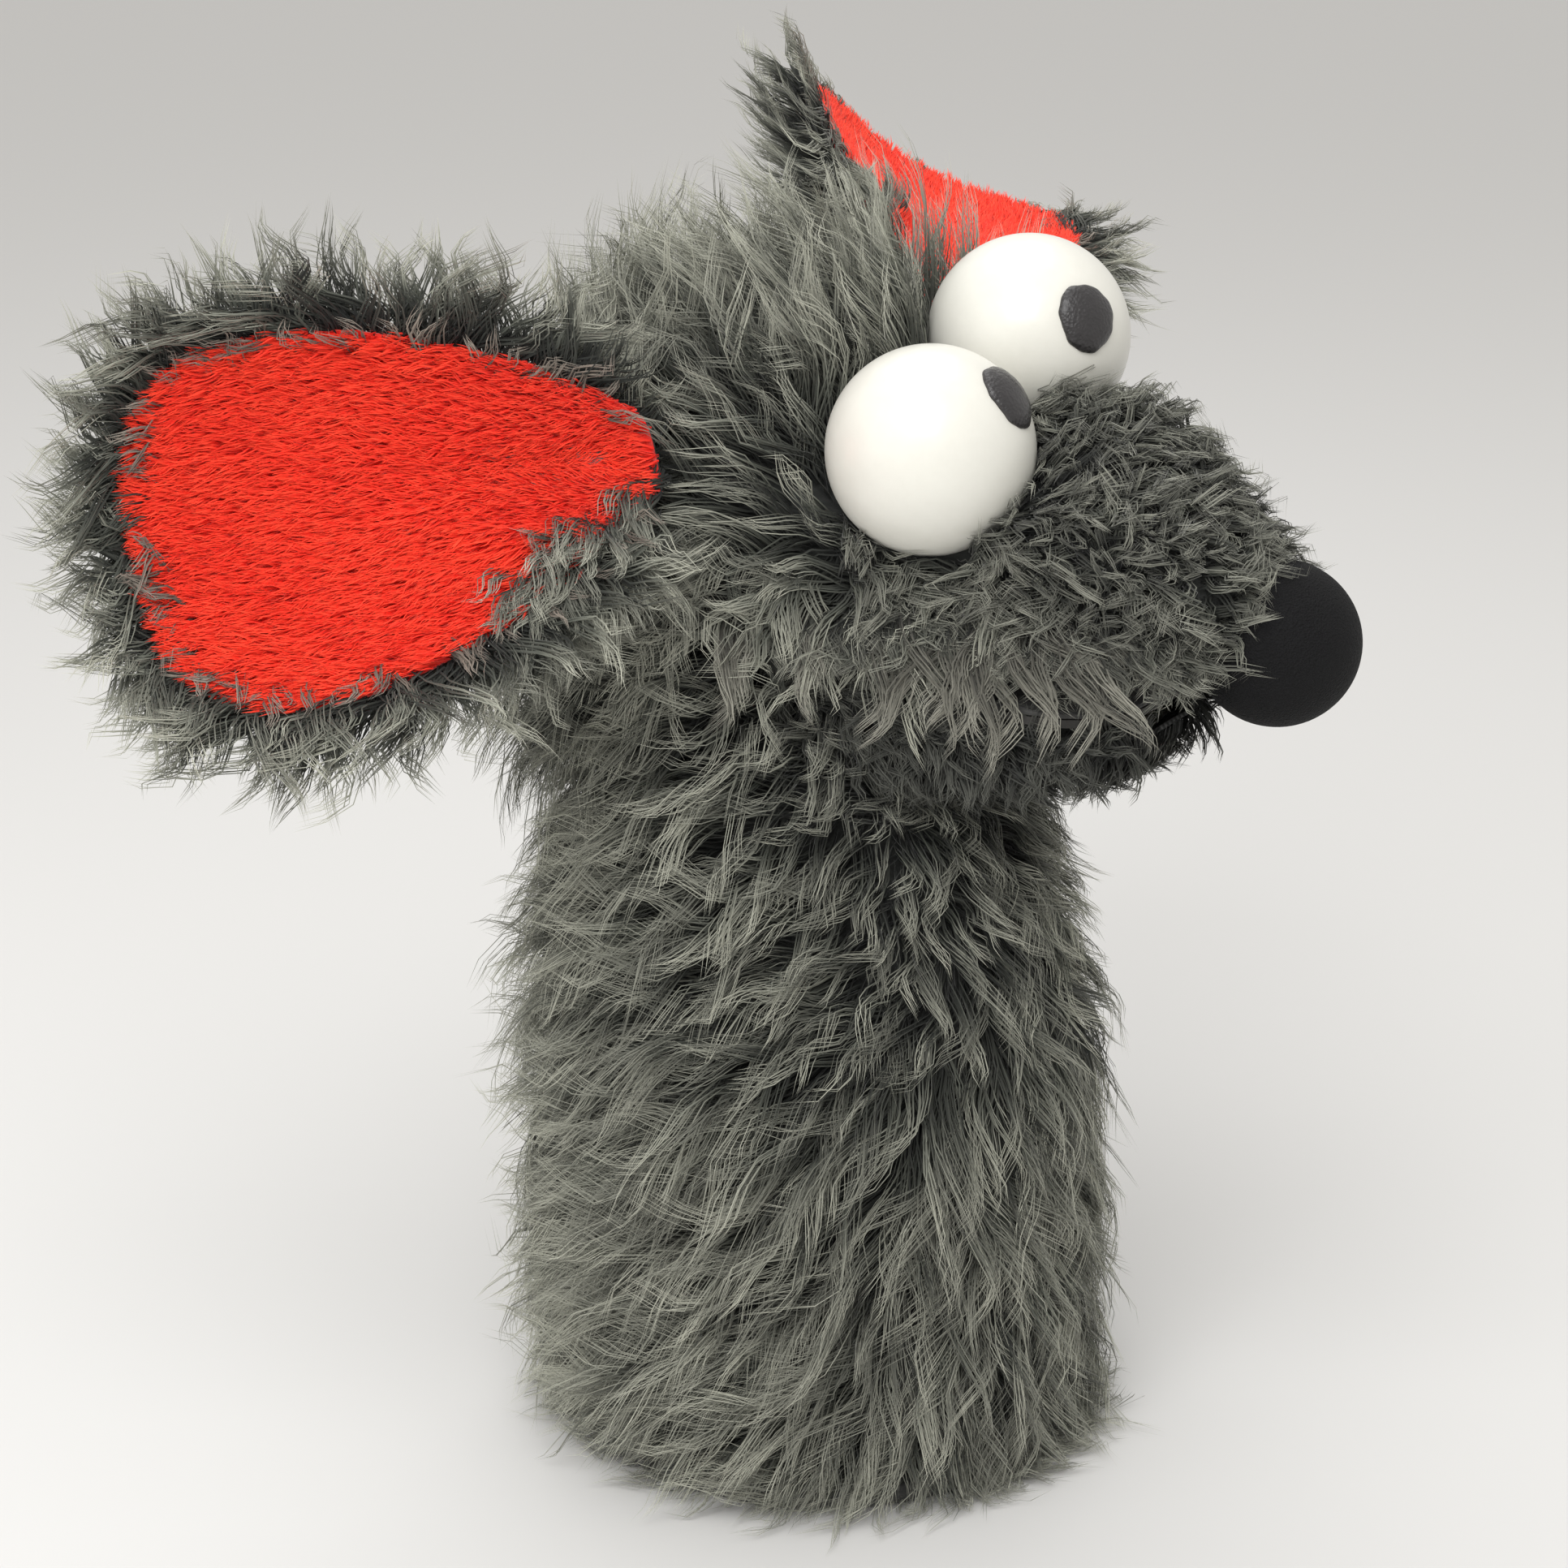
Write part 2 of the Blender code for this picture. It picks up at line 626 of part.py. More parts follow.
def ear_rings(rim, rings=4):
    """Rings of points from the leaf's middle to its edge, and to a rim past it if it has one."""
    middle = 0.5 * EAR_LENGTH
    nested = []
    for k in range(1, rings + 1):
        share = k / rings
        nested.append([(middle + share * (u - middle), share * v) for u, v in ear_outline()])
    if rim > 0.0:
        nested.append(ear_outline(rim))
    return nested


def ear_layer(rim, low, high, matrix, root_share=1.0):
    """One layer of the ear, between two heights over its cupped middle; root_share thins it at the root."""
    bm = bmesh.new()
    middle = (0.5 * EAR_LENGTH, 0.0)
    sheets = []
    for height in (low, high):
        pole = bm.verts.new(matrix @ Vector((*middle, ear_height(*middle) + height)))
        loops = []
        for ring in ear_rings(rim):
            loop = []
            for u, v in ring:
                full = min(1.0, root_share + max(u, 0.0) / (0.5 * EAR_LENGTH))
                offset = high + (height - high) * full
                loop.append(bm.verts.new(matrix @ Vector((u, v, ear_height(u, v) + offset))))
            loops.append(loop)
        sheets.append((pole, loops))
    two_sheets(bm, sheets)
    return bm


def ear_matrix(side):
    """The ear's axes: tip, across, and out of the red face."""
    pose = EAR_POSE[side]
    tip = Vector(pose["tip"]).normalized()
    face = Vector(pose["face"])
    face = (face - face.dot(tip) * tip).normalized()
    across = face.cross(tip)
    return Matrix((tip, across, face)).transposed().to_4x4()


def build_ear(side, head):
    """An ear of red plush on felt, with fur behind, on a pivot at its root."""
    root = pivot(f"ear_pivot_{side}", EAR_POSE[side]["root"], head)
    matrix = ear_matrix(side)
    felt_top = -EAR_GAP
    felt_foot = felt_top - EAR_FELT
    fur_top = felt_foot - EAR_GAP
    fur = ear_layer(EAR_FUR_RIM, fur_top - EAR_FUR_THICKNESS, fur_top, matrix, EAR_FUR_ROOT_SHARE)
    place(f"ear_plush_{side}", ear_layer(0.0, 0.0, EAR_PLUSH, matrix), root, "red_plush")
    place(f"ear_felt_{side}", ear_layer(0.0, felt_foot, felt_top, matrix), root, "felt")
    place(f"ear_fur_{side}", fur, root, "long_fur")


def main():
    """Build every part under its joint's pivot."""
    clear_scene()
    root = pivot("puppet", (*SLEEVE_CENTRE, 0.0))
    neck = pivot("neck_pivot", (0.0, 0.0, NECK_PIVOT_HEIGHT), root)
    nod = pivot("nod_pivot", (0.0, 0.0, NOD_PIVOT_HEIGHT - NECK_PIVOT_HEIGHT), neck)
    head = pivot("head_frame", (0.0, 0.0, HINGE_HEIGHT - NOD_PIVOT_HEIGHT), nod)
    jaw = pivot("jaw_pivot", (0.0, 0.0, 0.0), head, pitch=JAW_AJAR)

    sides = ("right", "left")
    sockets = []
    bores = []
    for side in sides:
        centre = Vector(EYE_CENTRE[side])
        socket = ball(centre, EYE_RADIUS + 1.5 * GAP)
        bore = peg(centre, PEG_AIM[side], EYE_RADIUS, PEG_RADIUS + GAP, BORE_DEEPER)
        sockets.append(cutter(f"eye_socket_{side}", socket, head))
        bores.append(cutter(f"peg_bore_{side}", bore, head))
    nose = Vector(NOSE_CENTRE)
    nose_bore = peg(nose, NOSE_PEG_AIM, NOSE_RADIUS, PEG_RADIUS + GAP, BORE_DEEPER)
    bores.append(cutter("nose_socket", ball(nose, NOSE_RADIUS + 1.5 * GAP), head))
    bores.append(cutter("nose_bore", nose_bore, head))

    build_sleeve(root)
    build_neck(neck)
    build_head_skins(head, sockets, bores)
    build_mouth_half(head, "upper", 1)
    build_mouth_half(jaw, "lower", -1)
    build_pocket("finger_pocket", head, FINGER_POCKET, 1)
    build_hinge_tape(head)
    build_jaw(jaw)
    for side in sides:
        build_eye(side, head)
        build_ear(side, head)
    build_nose(head)


main()
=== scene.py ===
"""Looks of the shaggy moving-mouth hand puppet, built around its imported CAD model.

The puppet faces -Y and stands on z = 0. The head is drawn in a head frame whose origin is the middle of the
mouth's hinge line. Lengths are in metres.
"""

from __future__ import annotations

import json
import logging
import math
from dataclasses import dataclass
from enum import Enum
from typing import Callable

import bpy
import numpy as np
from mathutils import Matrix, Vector

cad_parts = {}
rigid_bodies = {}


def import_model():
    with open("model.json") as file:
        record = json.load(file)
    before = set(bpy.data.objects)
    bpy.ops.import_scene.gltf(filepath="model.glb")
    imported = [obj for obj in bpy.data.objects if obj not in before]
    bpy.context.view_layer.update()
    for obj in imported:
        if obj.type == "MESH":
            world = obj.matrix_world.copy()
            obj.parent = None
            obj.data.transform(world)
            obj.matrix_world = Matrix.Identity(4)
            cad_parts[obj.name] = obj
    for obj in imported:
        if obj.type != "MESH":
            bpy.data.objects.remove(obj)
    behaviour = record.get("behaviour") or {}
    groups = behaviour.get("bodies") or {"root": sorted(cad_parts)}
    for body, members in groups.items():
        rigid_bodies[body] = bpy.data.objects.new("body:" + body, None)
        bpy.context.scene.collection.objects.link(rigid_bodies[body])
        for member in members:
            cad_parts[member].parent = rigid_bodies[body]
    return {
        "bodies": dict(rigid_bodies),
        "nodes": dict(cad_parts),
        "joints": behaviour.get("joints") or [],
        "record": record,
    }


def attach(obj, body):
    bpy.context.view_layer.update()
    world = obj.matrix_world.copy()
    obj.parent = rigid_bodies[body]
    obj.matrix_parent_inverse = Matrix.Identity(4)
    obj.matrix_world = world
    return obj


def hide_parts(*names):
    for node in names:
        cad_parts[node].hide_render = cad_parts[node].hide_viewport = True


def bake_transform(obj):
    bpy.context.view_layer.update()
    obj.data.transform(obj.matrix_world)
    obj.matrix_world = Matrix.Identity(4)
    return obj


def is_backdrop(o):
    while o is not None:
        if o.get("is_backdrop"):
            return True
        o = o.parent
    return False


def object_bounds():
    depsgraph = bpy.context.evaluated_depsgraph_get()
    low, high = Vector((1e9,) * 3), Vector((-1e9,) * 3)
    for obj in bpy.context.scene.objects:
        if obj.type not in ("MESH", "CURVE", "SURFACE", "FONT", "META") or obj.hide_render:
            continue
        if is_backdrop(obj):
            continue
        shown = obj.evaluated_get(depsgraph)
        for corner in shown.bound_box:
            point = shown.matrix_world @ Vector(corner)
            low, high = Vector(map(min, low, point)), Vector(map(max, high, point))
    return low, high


LOG = logging.getLogger("puppet")
Array = np.ndarray

SLEEVE_AXIS = np.array((-0.0124, 0.0140, 0.0))
HEAD = SLEEVE_AXIS + np.array((0.0, 0.0, 0.223))
VIEW_RIGHT = np.array((0.515, -0.857, 0.0))
VIEW_OUT = np.array((-0.857, -0.515, 0.0))
DOWN = np.array((0.0, 0.0, -1.0))
JAW_PITCH = math.radians(4.0)
NOD_FROM_PILE = 0.145
NOD_FROM_CLOTH = 0.150
CLOTH_THICKNESS = 0.001
LINING_EDGE = 0.0003
FOAM_EDGE = 0.0010
THREADS = 900.0


class Side(Enum):
    """The puppet's own sides."""

    RIGHT = "right"
    LEFT = "left"


class Body(Enum):
    """The bodies that pieces ride on."""

    SLEEVE = "sleeve"
    NECK = "neck"
    HEAD = "head"
    JAW = "jaw"
    EAR_RIGHT = "ear_right"
    EAR_LEFT = "ear_left"


# ---------------------------------------------------------------- shaders


def operator(operation: str, reflected: bool = False) -> Callable[[Socket, object], Socket]:
    """An arithmetic method that adds a Math node.

    Args:
        operation: the Math node's operation.
        reflected: whether the other value comes first.

    Returns:
        The method.
    """

    def apply(self: Socket, other: object) -> Socket:
        """Combine this socket with another value.

        Args:
            other: a socket or a number.

        Returns:
            The result's socket.
        """
        pair = (other, self) if reflected else (self, other)
        return self.graph.node("Math", {"operation": operation}, dict(enumerate(pair)))

    return apply


class Socket:
    """An output socket with arithmetic that adds Math nodes."""

    __add__ = operator("ADD")
    __radd__ = operator("ADD", reflected=True)
    __sub__ = operator("SUBTRACT")
    __rsub__ = operator("SUBTRACT", reflected=True)
    __mul__ = operator("MULTIPLY")
    __rmul__ = operator("MULTIPLY", reflected=True)
    __pow__ = operator("POWER")
    __rpow__ = operator("POWER", reflected=True)

    def __init__(self, graph: Graph, socket: bpy.types.NodeSocket) -> None:
        """Wrap a socket of a graph.

        Args:
            graph: the graph it is in.
            socket: the socket.
        """
        self.graph = graph
        self.socket = socket

    def clamped(self) -> Socket:
        """This socket held from 0 to 1.

        Returns:
            The clamped socket.
        """
        return self.graph.node("Math", {"operation": "ADD", "use_clamp": True}, {0: self, 1: 0.0})


class Graph:
    """A material's nodes around one Principled shader."""

    def __init__(self, name: str) -> None:
        """Make a new material.

        Args:
            name: the material's name.
        """
        self.material = bpy.data.materials.new(name)
        self.material.use_nodes = True
        self.tree = self.material.node_tree
        self.shader = self.tree.nodes["Principled BSDF"]

    def node(
        self, kind: str, settings: dict | None = None, inputs: dict | None = None, out: int | str = 0
    ) -> Socket:
        """Add a shader node.

        Args:
            kind: the node type without its ShaderNode prefix.
            settings: attributes to set on the node.
            inputs: values or sockets by input name or number.
            out: the output's name or number.

        Returns:
            The chosen output.
        """
        made = self.tree.nodes.new(f"ShaderNode{kind}")
        for key, value in (settings or {}).items():
            setattr(made, key, value)
        for key, value in (inputs or {}).items():
            self.feed(made.inputs[key], value)
        return Socket(self, made.outputs[out])

    def feed(self, target: bpy.types.NodeSocket, value: object) -> None:
        """Link a socket, or set a constant, on an input.

        Args:
            target: the input.
            value: a socket, a number or a colour.
        """
        if isinstance(value, Socket):
            self.tree.links.new(value.socket, target)
        elif isinstance(value, tuple) and len(value) == 3 and target.type == "RGBA":
            target.default_value = (*value, 1.0)
        else:
            target.default_value = value

    def attribute(self, name: str) -> Socket:
        """A vertex attribute's number.

        Args:
            name: the attribute's name.

        Returns:
            Its factor socket.
        """
        return self.node("Attribute", {"attribute_name": name}, out="Fac")

    def place(self) -> Socket:
        """Object coordinates.

        Returns:
            The coordinate socket.
        """
        return self.node("TexCoord", out="Object")

    def noise(self, scale: float) -> Socket:
        """Noise in object coordinates.

        Args:
            scale: features per metre.

        Returns:
            The noise's factor.
        """
        inputs = {"Vector": self.place(), "Scale": scale, "Detail": 3.0, "Roughness": 0.55}
        return self.node("TexNoise", None, inputs, out="Fac")

    def mix(self, factor: object, first: object, second: object) -> Socket:
        """Mix two colours.

        Args:
            factor: 0 for the first, 1 for the second.
            first: a colour or socket.
            second: a colour or socket.

        Returns:
            The mixed colour.
        """
        inputs = {0: factor, 6: first, 7: second}
        return self.node("Mix", {"data_type": "RGBA"}, inputs, out=2)

    def bump(self, height: Socket, distance: float) -> None:
        """Use a height as the shader's bump.

        Args:
            height: the height.
            distance: how deep it is.
        """
        normal = self.node("Bump", None, {"Height": height, "Distance": distance})
        self.feed(self.shader.inputs["Normal"], normal)

    def finish(self, colour: object, roughness: object, **constants: float) -> bpy.types.Material:
        """Set the shader's colour and roughness.

        Args:
            colour: the base colour.
            roughness: the roughness.
            constants: other Principled inputs, with spaces written as underscores.

        Returns:
            The finished material.
        """
        self.feed(self.shader.inputs["Base Color"], colour)
        self.feed(self.shader.inputs["Roughness"], roughness)
        for key, value in constants.items():
            self.feed(self.shader.inputs[key.replace("_", " ")], value)
        return self.material


@dataclass(frozen=True)
class PileFinish:
    """Colours of a pile from the root of each hair to its tip; the root colour is painted shade deep in the
    pile.
    """

    name: str
    root: tuple[float, float, float]
    dark: tuple[float, float, float]
    light: tuple[float, float, float]
    tip: tuple[float, float, float]

    def build(self) -> bpy.types.Material:
        """The hair material.

        Returns:
            The material.
        """
        graph = Graph(self.name)
        along = graph.attribute("along")
        tone = graph.attribute("tone")
        body = graph.mix(tone, self.dark, self.light)
        # Each hair's lower part fades to the root colour: painted shade deep in the pile.
        rise = ((along - 0.05) * 2.2).clamped()
        root_shaded_shaft = graph.mix(rise, self.root, body)
        ends = (((along - 0.45) * 1.6).clamped() * (0.35 + tone * 0.65)).clamped()
        colour = graph.mix(ends, root_shaded_shaft, self.tip)
        return graph.finish(colour, 0.75, Sheen_Weight=0.15, Specular_IOR_Level=0.35)


@dataclass(frozen=True)
class ClothFinish:
    """A woven or knitted cloth."""

    name: str
    dark: tuple[float, float, float]
    light: tuple[float, float, float]

    def build(self) -> bpy.types.Material:
        """The cloth material.

        Returns:
            The material.
        """
        graph = Graph(self.name)
        place = graph.place()
        waves = []
        for direction in ("X", "Z"):
            settings = {"wave_type": "BANDS", "bands_direction": direction}
            inputs = {"Vector": place, "Scale": THREADS / math.tau, "Distortion": 0.6}
            waves.append(graph.node("TexWave", settings, inputs, out="Fac"))
        weave = waves[0] * waves[1]
        fade = (graph.noise(60.0) * 0.6 + weave * 0.5).clamped()
        graph.bump(weave + graph.noise(2500.0) * 0.5, 0.0003)
        return graph.finish(graph.mix(fade, self.dark, self.light), 0.9, Sheen_Weight=0.2)


@dataclass(frozen=True)
class GrainFinish:
    """A material with a fine grain: foam, board, paint or wood."""

    name: str
    dark: tuple[float, float, float]
    light: tuple[float, float, float]
    scale: float
    depth: float
    roughness: float
    stretch: tuple[float, float, float] = (1.0, 1.0, 1.0)
    coat: float = 0.0
    specular: float = 0.5

    def build(self) -> bpy.types.Material:
        """The grained material.

        Returns:
            The material.
        """
        graph = Graph(self.name)
        vector = graph.node("Mapping", None, {"Vector": graph.place(), "Scale": self.stretch})
        inputs = {"Vector": vector, "Scale": self.scale, "Detail": 4.0, "Roughness": 0.65}
        grain = graph.node("TexNoise", None, inputs, out="Fac")
        cells = graph.node("TexVoronoi", None, {"Vector": vector, "Scale": 1.7 * self.scale}, out="Distance")
        patch = graph.noise(self.scale * 0.06)
        tint = (grain * 0.6 + patch * 0.6 - 0.1).clamped()
        graph.bump(grain + cells * 0.6, self.depth)
        rough = (grain * 0.25 + (self.roughness - 0.12)).clamped()
        colour = graph.mix(tint, self.dark, self.light)
        return graph.finish(colour, rough, Coat_Weight=self.coat, Specular_IOR_Level=self.specular)


class Finishes:
    """Every material, made once."""

    def __init__(self) -> None:
        """Build the materials."""
        # Each pile's first colour is its root colour, which is painted shade deep in the pile.
        self.shaggy = PileFinish(
            "shaggy_grey_pile", (0.008, 0.009, 0.008), (0.017, 0.019, 0.015),
            (0.100, 0.106, 0.086), (0.66, 0.66, 0.55),
        ).build()
        self.curly = PileFinish(
            "curly_grey_pile", (0.004, 0.005, 0.004), (0.013, 0.014, 0.012),
            (0.095, 0.099, 0.080), (0.38, 0.38, 0.32),
        ).build()
        self.pale = PileFinish(
            "pale_beige_pile", (0.02, 0.019, 0.016), (0.09, 0.087, 0.072),
            (0.21, 0.205, 0.17), (0.48, 0.47, 0.40),
        ).build()
        self.jaw = PileFinish(
            "dark_jaw_pile", (0.004, 0.005, 0.004), (0.012, 0.013, 0.011),
            (0.050, 0.052, 0.044), (0.15, 0.152, 0.13),
        ).build()
        self.red = PileFinish(
            "red_plush_pile", (0.92, 0.020, 0.008), (0.94, 0.028, 0.011),
            (1.0, 0.048, 0.018), (1.0, 0.085, 0.032),
        ).build()
        self.brown = PileFinish(
            "brown_rim_pile", (0.020, 0.014, 0.011), (0.090, 0.070, 0.055),
            (0.200, 0.165, 0.135), (0.38, 0.34, 0.29),
        ).build()
        self.backing = ClothFinish("dark_backing_cloth", (0.010, 0.011, 0.010), (0.024, 0.026, 0.023)).build()
        self.red_backing = ClothFinish(
            "red_backing_cloth", (0.80, 0.016, 0.008), (0.92, 0.024, 0.010)
        ).build()
        self.lining = ClothFinish("woven_lining", (0.030, 0.030, 0.029), (0.075, 0.074, 0.070)).build()
        self.felt = GrainFinish(
            "grey_felt", (0.13, 0.127, 0.12), (0.25, 0.245, 0.235), 1400.0, 0.0004, 0.95
        ).build()
        self.foam = GrainFinish(
            "cream_foam", (0.55, 0.50, 0.38), (0.78, 0.74, 0.62), 1100.0, 0.0008, 0.95
        ).build()
        self.board = GrainFinish(
            "pressed_board", (0.020, 0.019, 0.018), (0.050, 0.047, 0.043), 900.0, 0.0001, 0.8,
            (1.0, 0.25, 1.0),
        ).build()
        self.eye = GrainFinish(
            "satin_white", (0.68, 0.67, 0.61), (0.76, 0.75, 0.69), 300.0, 0.00002, 0.34, coat=0.15
        ).build()
        self.pupil = GrainFinish(
            "pitted_black", (0.010, 0.009, 0.010), (0.032, 0.029, 0.030), 700.0, 0.0003, 0.36, coat=0.25
        ).build()
        self.nose = GrainFinish(
            "fine_black_foam", (0.002, 0.002, 0.0025), (0.010, 0.010, 0.011), 1100.0, 0.0008, 0.75,
            specular=0.2,
        ).build()
        self.wood = GrainFinish(
            "birch_dowel", (0.42, 0.29, 0.17), (0.66, 0.50, 0.32), 500.0, 0.0001, 0.6, (1.0, 1.0, 0.15)
        ).build()


# ---------------------------------------------------------------- numbers


def unit(vectors: Array) -> Array:
    """Vectors scaled to length 1.

    Args:
        vectors: an array whose last axis is x, y, z.

    Returns:
        The unit vectors.
    """
    return vectors / np.maximum(np.linalg.norm(vectors, axis=-1, keepdims=True), 1e-12)


def patches(points: Array, size: float, depth: float) -> Array:
    """Smooth light and dark patches over a surface.

    Args:
        points: where to read them.
        size: how wide a patch is.
        depth: the largest change.

    Returns:
        A number for each point.
    """
    waves = (points / size) @ np.array(((2.1, -1.3, 1.7), (1.4, 2.2, -1.9), (-1.8, 1.6, 2.3))).T
    return depth * np.sin(waves + 1.7 * np.sin(waves[:, ::-1] * 0.7)).mean(axis=1)


def axes(x: Array | float, y: Array | float, z: Array | float) -> Array:
    """Vectors from their x, y and z.

    Args:
        x: a number, or one for each vector.
        y: the same.
        z: the same.

    Returns:
        The vectors, with x, y, z as the last axis.
    """
    return np.stack(np.broadcast_arrays(x, y, z), axis=-1)


def pick(good: Array, count: int, rng: np.random.Generator) -> Array:
    """Choose roots at random from those that are marked.

    Args:
        good: a mask.
        count: how many.
        rng: the random source.

    Returns:
        The chosen roots' numbers.
    """
    return rng.permutation(np.flatnonzero(good))[:count]


def flat_to(normals: Array, vectors: Array) -> Array:
    """Vectors laid into the planes of the normals.

    Args:
        normals: unit normals.
        vectors: the vectors to lay down.

    Returns:
        Unit vectors across the normals.
    """
    along = np.sum(normals * vectors, axis=-1, keepdims=True)
    return unit(vectors - along * normals)


def smooth_rows(rows: Array, y: Array) -> Array:
    """Rows read at other stations along a smooth curve.

    Args:
        rows: rows whose first column falls along y.
        y: the stations to read.

    Returns:
        The other columns at each station.
    """
    order = np.argsort(rows[:, 0])
    knots = rows[order, 0]
    values = rows[order, 1:]
    slopes = np.gradient(values, knots, axis=0)
    i = np.clip(np.searchsorted(knots, y) - 1, 0, len(knots) - 2)
    span = (knots[i + 1] - knots[i])[:, None]
    t = ((y - knots[i])[:, None]) / span
    h1 = 2 * t**3 - 3 * t**2 + 1
    h2 = t**3 - 2 * t**2 + t
    h3 = 3 * t**2 - 2 * t**3
    h4 = t**3 - t**2
    return h1 * values[i] + h2 * span * slopes[i] + h3 * values[i + 1] + h4 * span * slopes[i + 1]


class Room:
    """The box that the fur may fill: the solid model's box and a margin for loose hair."""

    share = 0.027
    margin = 0.0095
    softness = 0.006

    def __init__(self, low: list[float], high: list[float]) -> None:
        """Widen the solid model's box.

        Args:
            low: its least corner.
            high: its greatest corner.
        """
        past = self.share * (np.array(high) - np.array(low)) + self.margin
        self.low = np.array(low) - past
        self.high = np.array(high) + past

    def hold(self, points: Array) -> Array:
        """Press points that come near the box's sides softly inward.

        Args:
            points: hair points.

        Returns:
            The held points.
        """
        last, first = self.high - self.softness, self.low + self.softness
        over = self.softness * np.tanh(np.clip(points - last, 0.0, None) / self.softness)
        under = self.softness * np.tanh(np.clip(first - points, 0.0, None) / self.softness)
        return np.clip(points, first, last) + over - under


# ---------------------------------------------------------------- skins


@dataclass
class Skin:
    """A grid of points on a cloth, from which pile grows."""

    points: Array
    flip: bool = False

    def facing(self, away_from: Array) -> Skin:
        """Turn the skin's outer side away from a point.

        Args:
            away_from: the point.

        Returns:
            The same skin.
        """
        self.flip = False
        if np.mean(np.sum(self.normals() * unit(self.points - away_from), axis=-1)) < 0.0:
            self.flip = True
        return self

    def normals(self) -> Array:
        """Unit normals at each grid point.

        Returns:
            An array like points.
        """
        down = np.gradient(self.points, axis=0)
        across = np.gradient(self.points, axis=1)
        normal = unit(np.cross(down, across))
        return -normal if self.flip else normal

    def scatter(self, count: int, rng: np.random.Generator) -> tuple[Array, Array]:
        """Random points, spread evenly by area.

        Args:
            count: how many.
            rng: the random source.

        Returns:
            Points and unit normals.
        """
        p = self.points
        diagonal = p[1:, 1:] - p[:-1, :-1]
        other = p[1:, :-1] - p[:-1, 1:]
        area = 0.5 * np.linalg.norm(np.cross(diagonal, other), axis=-1)
        edges = np.cumsum(area.ravel())
        spots = (np.arange(count) + rng.random(count)) / count * edges[-1]
        cell = np.minimum(np.searchsorted(edges, spots), area.size - 1)
        row, column = np.divmod(cell, area.shape[1])
        a, b = rng.random((2, count, 1))

        def blend(grid: Array) -> Array:
            """Read a grid between its points.

            Args:
                grid: a value at each point of the grid.

            Returns:
                A value at each random point.
            """
            near = grid[row, column] * (1 - b) + grid[row, column + 1] * b
            far = grid[row + 1, column] * (1 - b) + grid[row + 1, column + 1] * b
            return near * (1 - a) + far * a

        return blend(p), unit(blend(self.normals()))

    def cloth(self, name: str, material: bpy.types.Material) -> bpy.types.Object:
        """The cloth itself, made from a plain grid.

        Args:
            name: the piece's name.
            material: its material.

        Returns:
            The piece.
        """
        rows, columns = self.points.shape[:2]
        bpy.ops.object.select_all(action="DESELECT")
        bpy.ops.mesh.primitive_grid_add(x_subdivisions=columns - 1, y_subdivisions=rows - 1, size=1.0)
        piece = bpy.context.object
        piece.name = name
        piece.data.name = name
        piece.data.vertices.foreach_set("co", self.points.astype(np.float32).ravel())
        piece.data.update()
        if piece.data.polygons[0].normal.dot(Vector(self.normals()[0, 0])) < 0.0:
            piece.data.flip_normals()
        shell = piece.modifiers.new("thickness", "SOLIDIFY")
        shell.thickness = CLOTH_THICKNESS
        shell.offset = -1.0
        bpy.ops.object.modifier_apply(modifier=shell.name)
        bpy.ops.object.shade_smooth()
        piece.data.materials.append(material)
        return piece


@dataclass(frozen=True)
class Pile:
    """How the locks of one pile grow."""

    locks: int
    fibres: int
    segments: int
    length: tuple[float, float]
    width: float
    hair: float
    lift: float = 0.35
    rise: float = 0.0
    droop: float = 0.2
    wave: float = 0.06
    waves: float = 1.2
    gather: float = 0.8
    frizz: float = 0.0006
    stray: float = 0.15
    tone: tuple[float, float] = (0.0, 1.0)
    scatter_phase: float = 2.0


